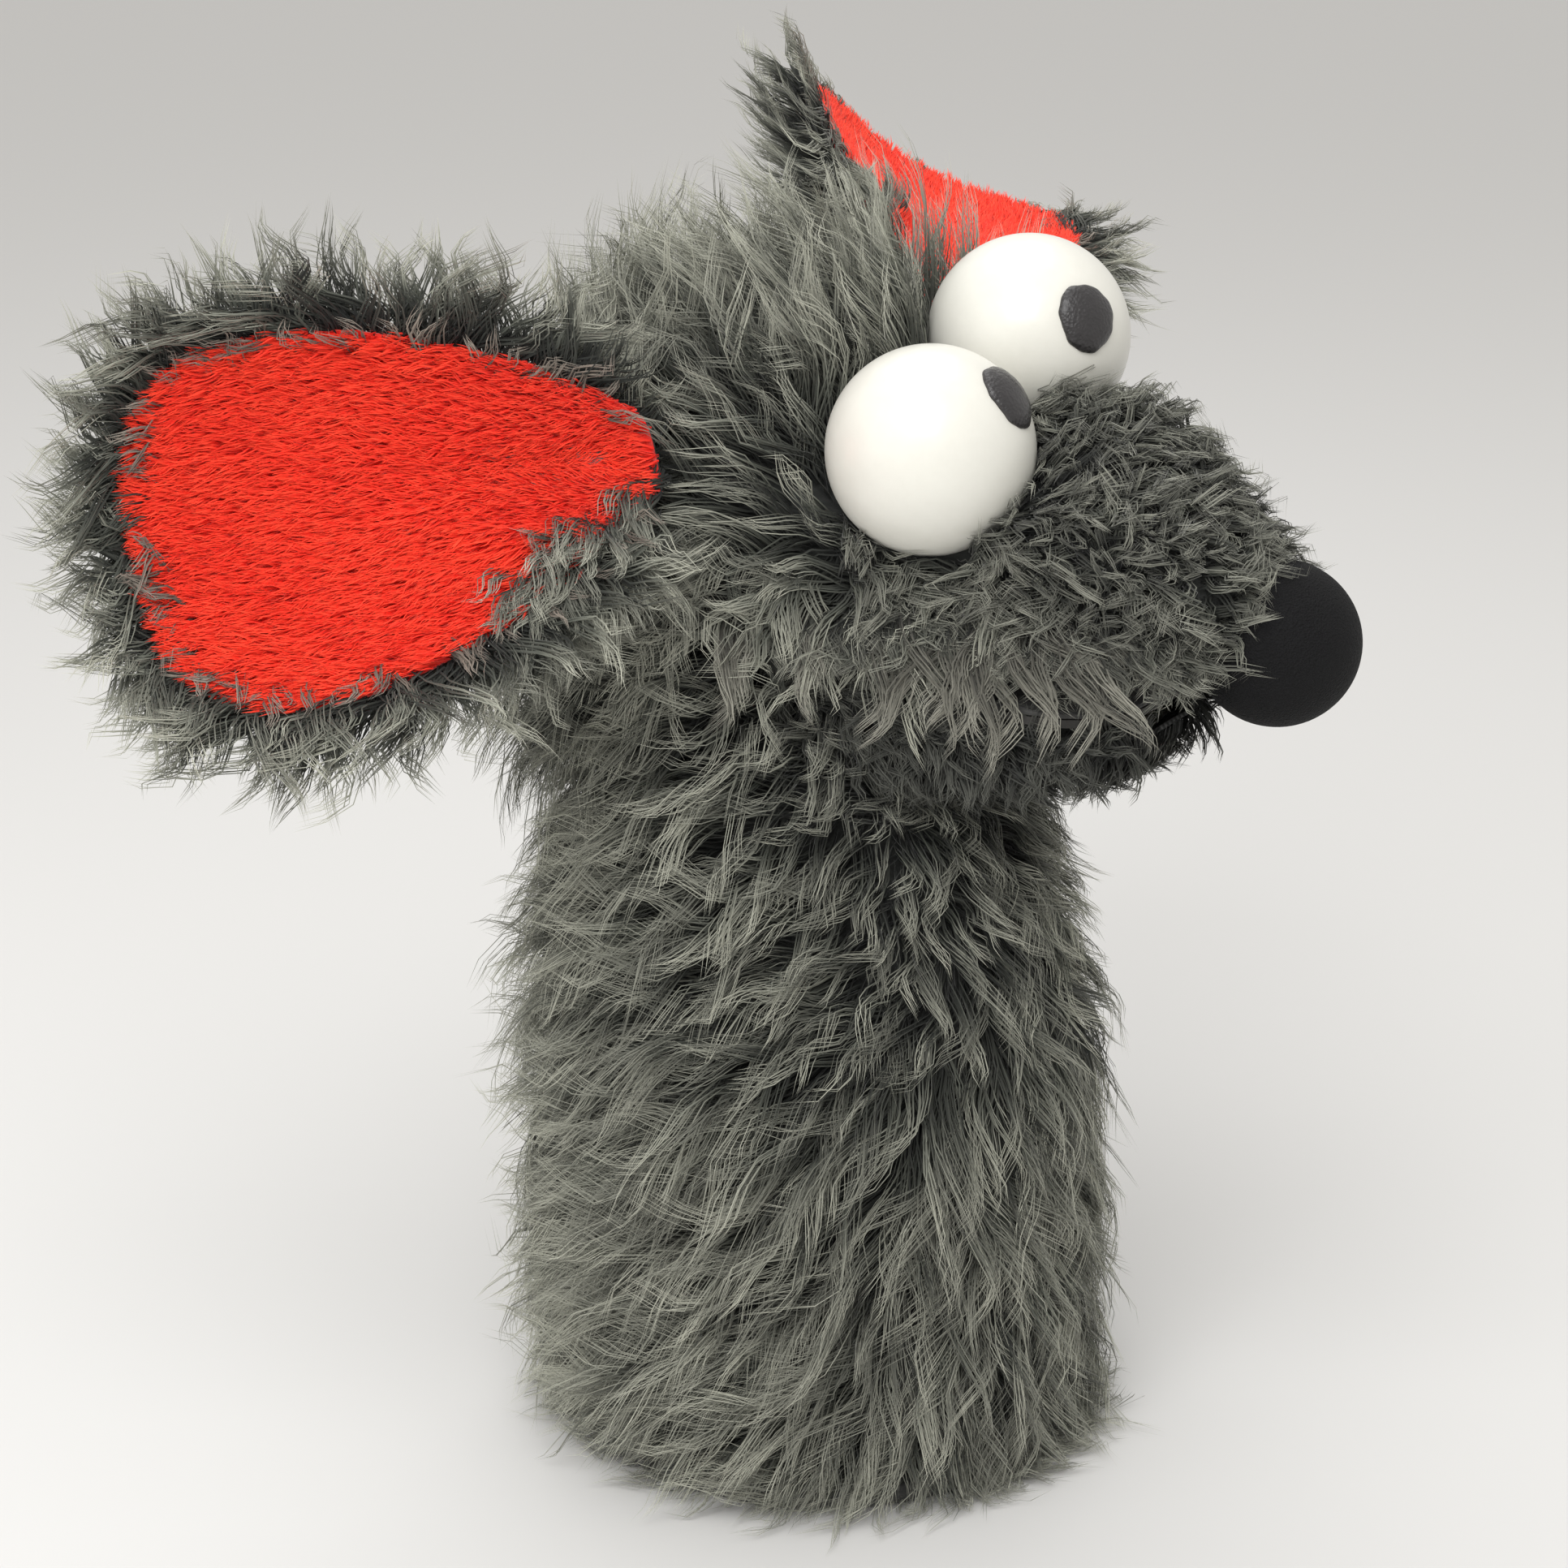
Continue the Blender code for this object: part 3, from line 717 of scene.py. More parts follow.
class Strands:
    """Locks of thin tapered hairs as one mesh."""

    def __init__(self, pile: Pile, seed: int) -> None:
        """Keep the pile's sizes and start its random source.

        Args:
            pile: how the locks grow.
            seed: the random seed.
        """
        self.pile = pile
        self.rng = np.random.default_rng(seed)
        self.parts: list[tuple[Array, Array, Array]] = []

    def grow(
        self,
        roots: Array,
        normals: Array,
        flows: Array,
        scale: Array | float = 1.0,
        shade: Array | float = 0.0,
    ) -> None:
        """Add one lock at each root.

        Args:
            roots: root points.
            normals: unit normals of the cloth.
            flows: unit directions that the locks lie in.
            scale: a factor on each lock's length.
            shade: what is added to each lock's tone.
        """
        pile, rng = self.pile, self.rng
        count, steps = len(roots), pile.segments
        t = np.linspace(0.0, 1.0, steps + 1)
        side = unit(np.cross(normals, flows))
        flows = unit(flows + pile.stray * rng.normal(size=(count, 1)) * side)
        length = (rng.uniform(*pile.length, count) * scale)[:, None]
        line = np.zeros((count, steps + 1, 3))
        line[:, 0] = roots
        start = unit(pile.lift * normals + (1.0 - pile.lift) * flows)
        end = unit(flows + pile.rise * normals + pile.droop * DOWN)
        for k in range(steps):
            share = ((k + 0.5) / steps) ** 0.8
            line[:, k + 1] = line[:, k] + unit((1.0 - share) * start + share * end) * length / steps
        drift = np.sin(roots @ np.array(((150.0, -110.0), (90.0, 170.0), (190.0, 120.0)))).sum(axis=1)
        phase = 1.6 * drift[:, None] + rng.uniform(0.0, pile.scatter_phase, (count, 1))
        turns = math.tau * pile.waves * rng.uniform(0.7, 1.3, (count, 1))
        amount = pile.wave * length * rng.uniform(0.5, 1.4, (count, 1)) * t**0.8
        swing = (np.sin(phase + turns * t) - np.sin(phase))[..., None]
        heave = (np.cos(phase + turns * t) - np.cos(phase))[..., None]
        line += amount[..., None] * (swing * side[:, None] + 0.45 * heave * normals[:, None])
        self._hairs(line, normals, side, flows, np.broadcast_to(shade, (count,)))

    def _hairs(self, line: Array, normals: Array, side: Array, flows: Array, shade: Array) -> None:
        """Spread hairs about each lock's middle line and store them as ribbons.

        Args:
            line: the middle line of each lock.
            normals: unit normals of the cloth.
            side: unit directions across the locks.
            flows: unit directions along them.
            shade: what is added to each lock's tone.
        """
        pile, rng = self.pile, self.rng
        count, hairs, steps = len(line), pile.fibres, pile.segments
        t = np.linspace(0.0, 1.0, steps + 1)
        radius = 0.5 * pile.width * np.sqrt(rng.random((count, hairs, 1)))
        turn = rng.uniform(0.0, math.tau, (count, hairs, 1))
        spread = radius * (np.cos(turn) * side[:, None] + np.sin(turn) * flows[:, None])
        spread = spread + 0.35 * radius * rng.uniform(0.0, 1.0, (count, hairs, 1)) * normals[:, None]
        closing = 1.0 - pile.gather * t**1.2
        points = line[:, None] + spread[:, :, None] * closing[:, None]
        kink = unit(rng.normal(size=(count, hairs, 1, 3)))
        kink_phase = rng.uniform(0, math.tau, (count, hairs, 1))
        wiggle = np.sin(kink_phase + 9.0 * t * rng.uniform(0.5, 1.5, (count, hairs, 1)))
        points = points + (pile.frizz * wiggle * t)[..., None] * kink
        root = points[:, :, :1]
        points = root + (points - root) * rng.uniform(0.72, 1.0, (count, hairs, 1, 1))
        along = np.gradient(points, axis=2)
        facing = unit(normals[:, None, None] + 0.8 * rng.normal(size=(count, hairs, 1, 3)))
        across = unit(np.cross(along, facing))
        half = 0.5 * pile.hair * np.maximum(1.0 - t, 0.0)[:, None] ** 0.6
        left = points - across * half
        right = points + across * half
        verts = np.empty((count, hairs, 2 * steps + 1, 3))
        verts[:, :, 0 : 2 * steps : 2] = left[:, :, :-1]
        verts[:, :, 1 : 2 * steps : 2] = right[:, :, :-1]
        verts[:, :, -1] = points[:, :, -1]
        shares = np.append(np.repeat(t[:-1], 2), 1.0)
        tones = rng.uniform(*pile.tone, (count, 1, 1)) + rng.uniform(-0.12, 0.12, (count, hairs, 1))
        grid = np.broadcast_to(np.clip(tones + shade[:, None, None], 0.0, 1.0), verts.shape[:3])
        self.parts.append((verts.reshape(-1, 3), np.tile(shares, count * hairs), grid.reshape(-1)))

    def bend(self, change: Callable[[Array], Array]) -> None:
        """Change every point made so far.

        Args:
            change: takes and returns an array of points.
        """
        self.parts = [(change(points), along, tone) for points, along, tone in self.parts]

    def piece(self, name: str, material: bpy.types.Material) -> bpy.types.Object:
        """All the locks as one object.

        Args:
            name: the piece's name.
            material: its material.

        Returns:
            The piece.
        """
        points = np.concatenate([part[0] for part in self.parts])
        along = np.concatenate([part[1] for part in self.parts])
        tone = np.concatenate([part[2] for part in self.parts])
        steps = self.pile.segments
        per_hair = 2 * steps + 1
        hairs = len(points) // per_hair
        pattern: list[int] = []
        for k in range(steps - 1):
            pattern += [2 * k, 2 * k + 1, 2 * k + 3, 2 * k + 2]
        pattern += [2 * steps - 2, 2 * steps - 1, 2 * steps]
        loops = (np.arange(hairs)[:, None] * per_hair + np.array(pattern)).ravel()
        sizes = np.tile(np.array([4] * (steps - 1) + [3]), hairs)
        mesh = bpy.data.meshes.new(name)
        mesh.vertices.add(len(points))
        mesh.vertices.foreach_set("co", points.astype(np.float32).ravel())
        mesh.loops.add(len(loops))
        mesh.loops.foreach_set("vertex_index", loops.astype(np.int32))
        mesh.polygons.add(len(sizes))
        mesh.polygons.foreach_set("loop_start", (np.cumsum(sizes) - sizes).astype(np.int32))
        mesh.update(calc_edges=True)
        for label, values in (("along", along), ("tone", tone)):
            attribute = mesh.attributes.new(label, "FLOAT", "POINT")
            attribute.data.foreach_set("value", values.astype(np.float32))
        mesh.shade_smooth()
        mesh.materials.append(material)
        made = bpy.data.objects.new(name, mesh)
        bpy.context.scene.collection.objects.link(made)
        return made


# ---------------------------------------------------------------- the puppet's shapes


class HeadShape:
    """The head's outline: rows of y, half width, top and lean, as in the solid model."""

    cranium = np.array(
        (
            (0.0620, 0.022, 0.036, 0.00),
            (0.0570, 0.040, 0.053, 0.04),
            (0.0450, 0.052, 0.067, 0.08),
            (0.0240, 0.058, 0.077, 0.12),
            (0.0000, 0.058, 0.078, 0.16),
            (-0.0180, 0.054, 0.069, 0.26),
            (-0.0300, 0.050, 0.062, 0.34),
        )
    )
    muzzle = np.array(
        (
            (-0.0450, 0.045, 0.057, 0.36),
            (-0.0600, 0.041, 0.059, 0.34),
            (-0.0750, 0.039, 0.060, 0.30),
            (-0.0880, 0.036, 0.055, 0.25),
            (-0.1000, 0.031, 0.048, 0.18),
            (-0.1100, 0.026, 0.040, 0.12),
            (-0.1180, 0.020, 0.032, 0.06),
            (-0.1240, 0.012, 0.028, 0.00),
        )
    )
    cheek_bottom = -0.030
    lip_top = 0.0053
    spring_share = 0.42
    tuck = 0.32
    side_power = 0.9
    arch_power = 0.93

    def edge(self, y: Array) -> Array:
        """The height of the lower edge.

        Args:
            y: where along the head.

        Returns:
            The heights.
        """
        share = np.clip((0.012 - y) / 0.014, 0.0, 1.0)
        lift = np.clip((-0.104 - y) / 0.020, 0.0, 1.0) * 0.012
        return self.cheek_bottom + share * (self.lip_top - self.cheek_bottom) + lift

    def skin(self, start: float, stop: float, inset: float, rows: int = 40, sides: int = 40) -> Skin:
        """The outline between two values of y, drawn inward.

        Args:
            start: the first y.
            stop: the last y.
            inset: how far inside the outline.
            rows: stations along y.
            sides: points across.

        Returns:
            The skin, in world positions.
        """
        table = np.concatenate((self.cranium, self.muzzle))
        y = np.linspace(start, stop, rows)
        wide, top, lean = smooth_rows(table, y).T
        low = self.edge(y)
        spring = low + self.spring_share * (top - low)
        wide = wide - inset
        top = top - inset
        turn = np.linspace(-self.tuck, math.pi + self.tuck, sides)
        inside = np.clip(turn, 0.0, math.pi)
        below = np.clip(-turn, 0, None) + np.clip(turn - math.pi, 0, None)
        across = np.sign(np.cos(inside)) * np.abs(np.cos(inside)) ** self.side_power
        rise = np.sin(inside) ** self.arch_power
        x = wide[:, None] * across * (1.0 - 0.07 * below / self.tuck)
        z = spring[:, None] + (top[:, None] - spring[:, None] + (lean * wide)[:, None] * across) * rise
        z = z - (spring - low)[:, None] * below / self.tuck
        points = np.stack((x, np.broadcast_to(y[:, None], x.shape), z), axis=-1)
        return Skin(points + HEAD).facing(HEAD + np.array((0.0, 0.5 * (start + stop), 0.012)))

    def back_cap(self, inset: float, rows: int = 10, sides: int = 40) -> Skin:
        """The rounded back of the head, closing the outline to a point.

        Args:
            inset: how far inside the outline.
            rows: rings.
            sides: points across.

        Returns:
            The skin.
        """
        rim = self.skin(0.0600, 0.0560, inset, 2, sides).points[0] - HEAD
        centre = np.array((0.0, 0.0600 + 0.004 - 0.6 * inset, 0.004))
        share = np.linspace(0.02, 1.0, rows)[:, None, None]
        ring = centre + (rim - centre) * share
        ring[..., 1] = 0.0600 + 0.006 * (1.0 - share[..., 0] ** 2) - 0.6 * inset * (1.0 - share[..., 0])
        return Skin(ring + HEAD).facing(HEAD)


class JawShape:
    """The lower jaw's outline: rows of y, half width and depth, in the jaw's own frame."""

    rows = np.array(
        (
            (-0.0040, 0.038, 0.014),
            (-0.0160, 0.041, 0.030),
            (-0.0320, 0.042, 0.038),
            (-0.0600, 0.040, 0.034),
            (-0.0800, 0.036, 0.028),
            (-0.0920, 0.029, 0.022),
            (-0.0985, 0.019, 0.016),
        )
    )
    back = -0.0050
    front = -0.0985
    lip = 0.0053
    spring_share = 0.42
    tuck = 0.3
    side_power = 0.85
    arch_power = 0.9

    def skin(self, inset: float, stations: int = 30, sides: int = 32) -> Skin:
        """The outline, drawn inward.

        Args:
            inset: how far inside the outline.
            stations: rows along y.
            sides: points across.

        Returns:
            The skin, in world positions.
        """
        y = np.linspace(self.back, self.front, stations)
        wide, deep = smooth_rows(self.rows, y).T
        spring = self.lip + self.spring_share * (deep - self.lip)
        turn = np.linspace(-self.tuck, math.pi + self.tuck, sides)
        inside = np.clip(turn, 0.0, math.pi)
        below = (np.clip(-turn, 0, None) + np.clip(turn - math.pi, 0, None)) / self.tuck
        across = np.sign(np.cos(inside)) * np.abs(np.cos(inside)) ** self.side_power
        x = (wide - inset)[:, None] * across
        z = spring[:, None] + (deep - inset - spring)[:, None] * np.sin(inside) ** self.arch_power
        z = z - (spring - self.lip)[:, None] * below
        along = np.broadcast_to(y[:, None], x.shape)
        cos, sin = math.cos(JAW_PITCH), math.sin(JAW_PITCH)
        points = np.stack((x, along * cos + z * sin, along * sin - z * cos), axis=-1)
        return Skin(points + HEAD).facing(HEAD + np.array((0.0, -0.05, -0.004)))


@dataclass
class EarShape:
    """A cupped leaf, as in the solid model."""

    side: Side
    length: float = 0.114
    half_width: float = 0.051
    root_half_width: float = 0.013
    swell_power: float = 0.80
    rise: float = 0.016
    cup: float = 0.020
    crease_depth: float = 0.004
    lobe_height: float = 0.0045
    lobe_start: float = 0.020
    lobe_slope: float = 0.27

    def pose(self) -> tuple[Array, Array]:
        """Where the ear sits.

        Returns:
            The root in world positions, and the axes: tip, across and face.
        """
        root, tip, face = {
            Side.RIGHT: ((-0.067, 0.008, 0.051), (-0.560, 0.800, -0.210), (-0.80, -0.50, 0.33)),
            Side.LEFT: ((0.062, 0.005, 0.068), (0.81, 0.59, -0.05), (0.38, -0.31, 0.87)),
        }[self.side]
        tip = unit(np.array(tip))
        face = np.array(face)
        face = unit(face - face.dot(tip) * tip)
        return HEAD + np.array(root), np.stack((tip, np.cross(face, tip), face))

    def height(self, u: Array, v: Array) -> Array:
        """How far the leaf stands off its plane.

        Args:
            u: how far along the ear.
            v: how far across it.

        Returns:
            The heights.
        """
        half = 0.5 * self.length
        root = 1.0 - np.clip(u / half, 0.0, 1.0)
        tip = np.clip(u / half - 1.0, 0.0, None)
        edge = (v / self.half_width) ** 2 * (1.0 - 0.6 * root)
        line = (v + 0.10 * u) / 0.006
        fold = np.exp(-(line**2)) * np.clip(1.25 - u / half, 0.0, 1.0) * np.clip(u / 0.012, 0.0, 1.0)
        lobe = self.lobe_height * self.lobe(u, v)
        curl = self.cup * (0.9 * edge + 0.35 * tip**2 - 0.3)
        return self.rise * (1.0 - root**2) + curl - self.crease_depth * fold + lobe

    def lobe(self, u: Array, v: Array) -> Array:
        """How strongly the folded lobe beside the crease stands up.

        Args:
            u: how far along the ear.
            v: how far across it.

        Returns:
            From 0 to 1.
        """
        past = v - self.lobe_start + self.lobe_slope * u
        step = 1.0 / (1.0 + np.exp(-np.clip(past / 0.0009, -30.0, 30.0)))
        near = np.clip(u / 0.010, 0.0, 1.0) * np.clip(1.0 - (u - 0.024) / 0.026, 0.0, 1.0)
        return step * near * np.exp(-((np.clip(past, 0.0, None) / 0.016) ** 2))

    def skin(self, offset: float, rim: float = 0.0, rings: int = 24, sides: int = 72) -> Skin:
        """The leaf at a height over its middle surface.

        Args:
            offset: the height.
            rim: how far it reaches past the outline.
            rings: rings from the middle to the edge.
            sides: points round.

        Returns:
            The skin in world positions, facing the way the red side does.
        """
        turn = np.linspace(0.0, math.tau, sides)
        half = 0.5 * self.length
        u = half - (half + rim) * np.cos(turn)
        swell = np.sin(0.5 * turn) ** 2
        wide = self.root_half_width + (self.half_width - self.root_half_width) * swell**self.swell_power
        v = (wide + rim) * np.sign(np.sin(turn)) * np.abs(np.sin(turn)) ** 0.72
        u = np.where(u > 0.0, u, 0.25 * u)
        share = np.linspace(0.004, 1.0, rings)[:, None]
        grid_u = half + share * (u - half)
        grid_v = share * v
        local = np.stack((grid_u, grid_v, self.height(grid_u, grid_v) + offset), axis=-1)
        root, frame = self.pose()
        middle = root + frame[0] * 0.5 * self.length
        return Skin(root + local @ frame).facing(middle - frame[2])


class Part:
    """Pieces of the puppet that are made together."""

    def __init__(self, finishes: Finishes, room: Room) -> None:
        """Keep the finishes and the room for the fur.

        Args:
            finishes: every material.
            room: the box that the fur may fill.
        """
        self.finishes = finishes
        self.room = room
        self.made: list[bpy.types.Object] = []

    def pile(self, strands: Strands, name: str, material: bpy.types.Material) -> bpy.types.Object:
        """Hold a pile's hairs inside the room and make them one piece.

        Args:
            strands: the grown hairs.
            name: the piece's name.
            material: its material.

        Returns:
            The piece.
        """
        strands.bend(self.room.hold)
        return strands.piece(name, material)

    def keep(
        self, piece: bpy.types.Object, body: Body, slot: str, nodes: tuple[str, ...] = ()
    ) -> bpy.types.Object:
        """Attach a piece to its body.

        Args:
            piece: the finished piece.
            body: the body it rides on.
            slot: the record's slot.
            nodes: the CAD nodes it stands for.

        Returns:
            The piece.
        """
        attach(piece, body.value)
        return self.label(piece, slot, nodes)

    def label(self, piece: bpy.types.Object, slot: str, nodes: tuple[str, ...] = ()) -> bpy.types.Object:
        """Hide the CAD nodes that a piece stands for, and keep the piece.

        Args:
            piece: the piece.
            slot: not used.
            nodes: the CAD nodes it stands for.

        Returns:
            The piece.
        """
        if nodes:
            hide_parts(*nodes)
        self.made.append(piece)
        return piece

    def leaning(self, piece: bpy.types.Object, slot: str, nodes: tuple[str, ...] = ()) -> bpy.types.Object:
        """Bake a piece of the tube's place into its mesh, and keep the piece.

        Args:
            piece: the finished piece.
            slot: the record's slot.
            nodes: the CAD nodes it stands for.

        Returns:
            The piece.
        """
        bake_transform(piece)
        return self.label(piece, slot, nodes)

    def soft_copy(self, node: str, name: str, material: bpy.types.Material, bevel: float) -> bpy.types.Object:
        """A rounded piece in the space of a CAD node.

        Args:
            node: the CAD node.
            name: the new piece's name.
            material: its material.
            bevel: how far its edges are rounded.

        Returns:
            The piece, not yet riding on a body.
        """
        source = bpy.data.objects[node]
        bpy.ops.object.select_all(action="DESELECT")
        bpy.ops.mesh.primitive_cube_add(size=1.0)
        piece = bpy.context.object
        piece.data = source.data.copy()
        piece.name = name
        piece.data.name = name
        piece.data.materials.clear()
        piece.data.materials.append(material)
        bpy.ops.object.mode_set(mode="EDIT")
        bpy.ops.mesh.select_all(action="SELECT")
        bpy.ops.mesh.remove_doubles(threshold=0.00005)
        bpy.ops.object.mode_set(mode="OBJECT")
        rounding = piece.modifiers.new("rounding", "BEVEL")
        rounding.width = bevel
        rounding.segments = 2
        rounding.limit_method = "ANGLE"
        bpy.ops.object.modifier_apply(modifier=rounding.name)
        bpy.ops.object.shade_smooth_by_angle(angle=math.radians(40))
        return piece

    def stuffing(self, node: str, name: str, body: Body) -> None:
        """Foam in the space of a CAD node.

        Args:
            node: the CAD node.
            name: the new piece's name.
            body: the body it rides on.
        """
        piece = self.soft_copy(node, name, self.finishes.foam, FOAM_EDGE)
        self.keep(piece, body, "foam", (node,))

    def lining(self, node: str, body: Body) -> None:
        """Thin cloth in the space of a CAD node.

        Args:
            node: the CAD node.
            body: the body it rides on.
        """
        piece = self.soft_copy(node, f"{node}_cloth", self.finishes.lining, LINING_EDGE)
        self.keep(piece, body, "lining", (node,))


# ---------------------------------------------------------------- sub-assemblies


@dataclass(frozen=True)
class SleeveSizes:
    """The sleeve's cloth and pile."""

    radius: float = 0.0580
    bottom: float = 0.0075
    top: float = 0.1300
    floor: float = 0.0010
    pile: Pile = Pile(
        880, 13, 7, (0.036, 0.060), 0.0092, 0.00048, lift=0.42, rise=0.14, droop=0.10, wave=0.150, waves=1.05,
        gather=0.90, frizz=0.0011, stray=0.30,
    )


def sleeve_flow(points: Array, normals: Array) -> Array:
    """The way the sleeve's locks lie: level on one side, slanting in the middle, hanging on the other.

    Args:
        points: root points.
        normals: cloth normals.

    Returns:
        Unit directions in the cloth.
    """
    side = normals @ VIEW_RIGHT
    out = normals @ VIEW_OUT
    front = np.clip(0.5 + 0.9 * out, 0.0, 1.0)
    level = front * np.interp(
        side, (-1.0, -0.55, -0.1, 0.25, 0.6, 1.0), (1.35, 1.45, 1.40, 0.95, 0.25, -0.40)
    )
    sway = 0.25 * np.sin(95.0 * points[:, 2] + 3.0 * side) + 0.15 * np.sin(210.0 * points[:, 2] - 5.0 * side)
    fall = np.interp(side, (-1.0, -0.4, 0.2, 1.0), (0.25, 0.45, 0.70, 1.0))
    aim = -(level + sway * 0.6)[:, None] * VIEW_RIGHT + fall[:, None] * DOWN
    return flat_to(normals, aim)


class Sleeve(Part):
    """The forearm's tube."""

    def build(self) -> None:
        """Make the cloth, its pile, the lining and the hem."""
        size = SleeveSizes()
        turn = np.linspace(0.0, math.tau, 97)
        height = np.linspace(size.bottom, size.top, 30)[:, None]
        ring = np.stack((np.cos(turn), np.sin(turn)), axis=-1) * size.radius
        points = np.empty((30, 97, 3))
        points[..., :2] = ring + SLEEVE_AXIS[:2]
        points[..., 2] = height
        skin = Skin(points, flip=True)
        cloth = self.leaning(skin.cloth("sleeve_cloth", self.finishes.backing), "long_fur", ("sleeve_fur",))
        for index, span in enumerate(((0, 33), (32, 65), (64, 97))):
            part = Skin(points[:, span[0] : span[1]], flip=True)
            strands = Strands(size.pile, 11 + index)
            roots, normals = part.scatter(size.pile.locks, strands.rng)
            short = np.clip(0.55 + (roots[:, 2] - size.bottom) / 0.060, 0.5, 1.0)
            strands.grow(roots, normals, sleeve_flow(roots, normals), short, patches(roots, 0.020, 0.35))
            strands.bend(lambda p: self.settle(p, size.floor))
            pile = self.pile(strands, f"sleeve_pile_{index + 1}", self.finishes.shaggy)
            self.leaning(pile, "long_fur")
        lining = self.soft_copy("sleeve_lining", "sleeve_lining_cloth", self.finishes.lining, LINING_EDGE)
        self.leaning(lining, "lining", ("sleeve_lining",))
        hem = self.soft_copy("sleeve_hem", "sleeve_hem_roll", self.finishes.lining, 0.0014)
        self.keep(hem, Body.SLEEVE, "lining", ("sleeve_hem",))

    def settle(self, points: Array, floor: float) -> Array:
        """Lay the hairs that reach the floor outward on it.

        Args:
            points: hair points.
            floor: the lowest height.

        Returns:
            The settled points.
        """
        out = points[:, :2] - SLEEVE_AXIS[:2]
        reach = np.linalg.norm(out, axis=1, keepdims=True)
        below = np.clip(floor - points[:, 2], 0.0, None)
        settled = points.copy()
        settled[:, :2] += out / reach * np.minimum(below, 0.014)[:, None] * 0.55
        layer = 0.004 * (0.5 + 0.5 * np.sin(points[:, 0] * 900.0) * np.sin(points[:, 1] * 700.0))
        settled[:, 2] = np.where(below > 0.0, floor + layer * np.clip(below / 0.01, 0.0, 1.0), points[:, 2])
        return settled


@dataclass(frozen=True)
class NeckSizes:
    """The neck's cloth and pile."""

    bottom_radius: float = 0.0575
    top_half: float = 0.0440
    bottom: float = 0.1303
    split: float = 0.1480
    throat_locks: int = 330
    pile: Pile = Pile(
        860, 13, 7, (0.036, 0.054), 0.0090, 0.00048, lift=0.62, rise=0.30, droop=0.12, wave=0.14, stray=0.35,
        gather=0.88, frizz=0.0010,
    )


class Neck(Part):
    """The soft tube between the sleeve and the head."""

    def build(self) -> None:
        """Make the cloth, its pile and the lining."""
        size = NeckSizes()
        cloth = self.tube(size).cloth("neck_cloth", self.finishes.backing)
        self.bending(cloth)
        self.label(cloth, "long_fur", ("neck_fur",))
        upper, lower = Strands(size.pile, 31), Strands(SleeveSizes().pile, 32)
        for skin, count in ((self.tube(size), size.pile.locks), (self.throat(), size.throat_locks)):
            roots, normals = skin.scatter(count, upper.rng)
            high = np.clip((roots[:, 2] - 0.150) / 0.035, 0.0, 1.0)
            front = np.clip((SLEEVE_AXIS[1] - 0.005 - roots[:, 1]) / 0.03, 0.0, 1.0)
            shorter = 1.0 - 0.10 * high - 0.36 * front
            # The -0.4 * high * front term is painted shade: locks high on the front of the neck, under the
            # jaw, are darkened.
            shade = patches(roots, 0.02, 0.3) - 0.4 * high * front
            flow = sleeve_flow(roots, normals)
            high_up = roots[:, 2] > size.split
            for strands, part in ((upper, high_up), (lower, ~high_up)):
                if part.any():
                    strands.grow(roots[part], normals[part], flow[part], shorter[part], shade[part])
        pile = self.pile(upper, "neck_pile", self.finishes.shaggy)
        self.bending(pile, NOD_FROM_PILE)
        self.label(pile, "long_fur")
        low_pile = self.leaning(self.pile(lower, "neck_low_pile", self.finishes.shaggy), "long_fur")
        throat = self.throat().cloth("throat_cloth", self.finishes.backing)
        self.bending(throat)
        self.label(throat, "long_fur")
        lining = self.soft_copy("neck_lining", "neck_lining_cloth", self.finishes.lining, LINING_EDGE)
        self.bending(lining)
        self.label(lining, "lining", ("neck_lining",))

    def bending(self, piece: bpy.types.Object, start: float = NOD_FROM_CLOTH) -> None:
        """Bake a piece's place into its mesh.

        Args:
            piece: the finished mesh.
            start: not used.
        """
        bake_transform(piece)

    def throat(self) -> Skin:
        """The cloth that closes the neck up into the head, behind the mouth.

        Returns:
            The skin.
        """
        turn = np.linspace(0.0, math.tau, 57)
        share = np.linspace(0.0, 1.0, 8)[:, None]
        cos, sin = np.cos(turn), np.sin(turn)
        x = (0.0440 * (1 - share) + 0.0330 * share) * cos
        low_y, high_y = 0.004 + 0.0440 * sin, 0.013 + 0.0240 * sin
        y = low_y * (1 - share) + high_y * share
        z = (0.1838 + 0.14 * low_y) * (1 - share) + 0.208 * share
        middle = SLEEVE_AXIS + np.array((0.0, 0.01, 0.19))
        return Skin(np.stack((x, y, z), axis=-1) + SLEEVE_AXIS).facing(middle)

    def tube(self, size: NeckSizes) -> Skin:
        """The neck's cloth.

        Args:
            size: its sizes.

        Returns:
            The skin.
        """
        turn = np.linspace(0.0, math.tau, 73)
        share = np.linspace(0.0, 1.0, 16)[:, None]
        cos, sin = np.cos(turn), np.sin(turn)
        low, high = size.bottom_radius, size.top_half
        x = (low + (high - low) * share) * cos
        y = low * sin * (1 - share) + (0.004 + high * sin) * share
        top = 0.223 - 0.0398 + 0.14 * (0.004 + high * sin)
        z = size.bottom * (1 - share) + top * share
        return Skin(np.stack((x, y, z), axis=-1) + SLEEVE_AXIS, flip=True)


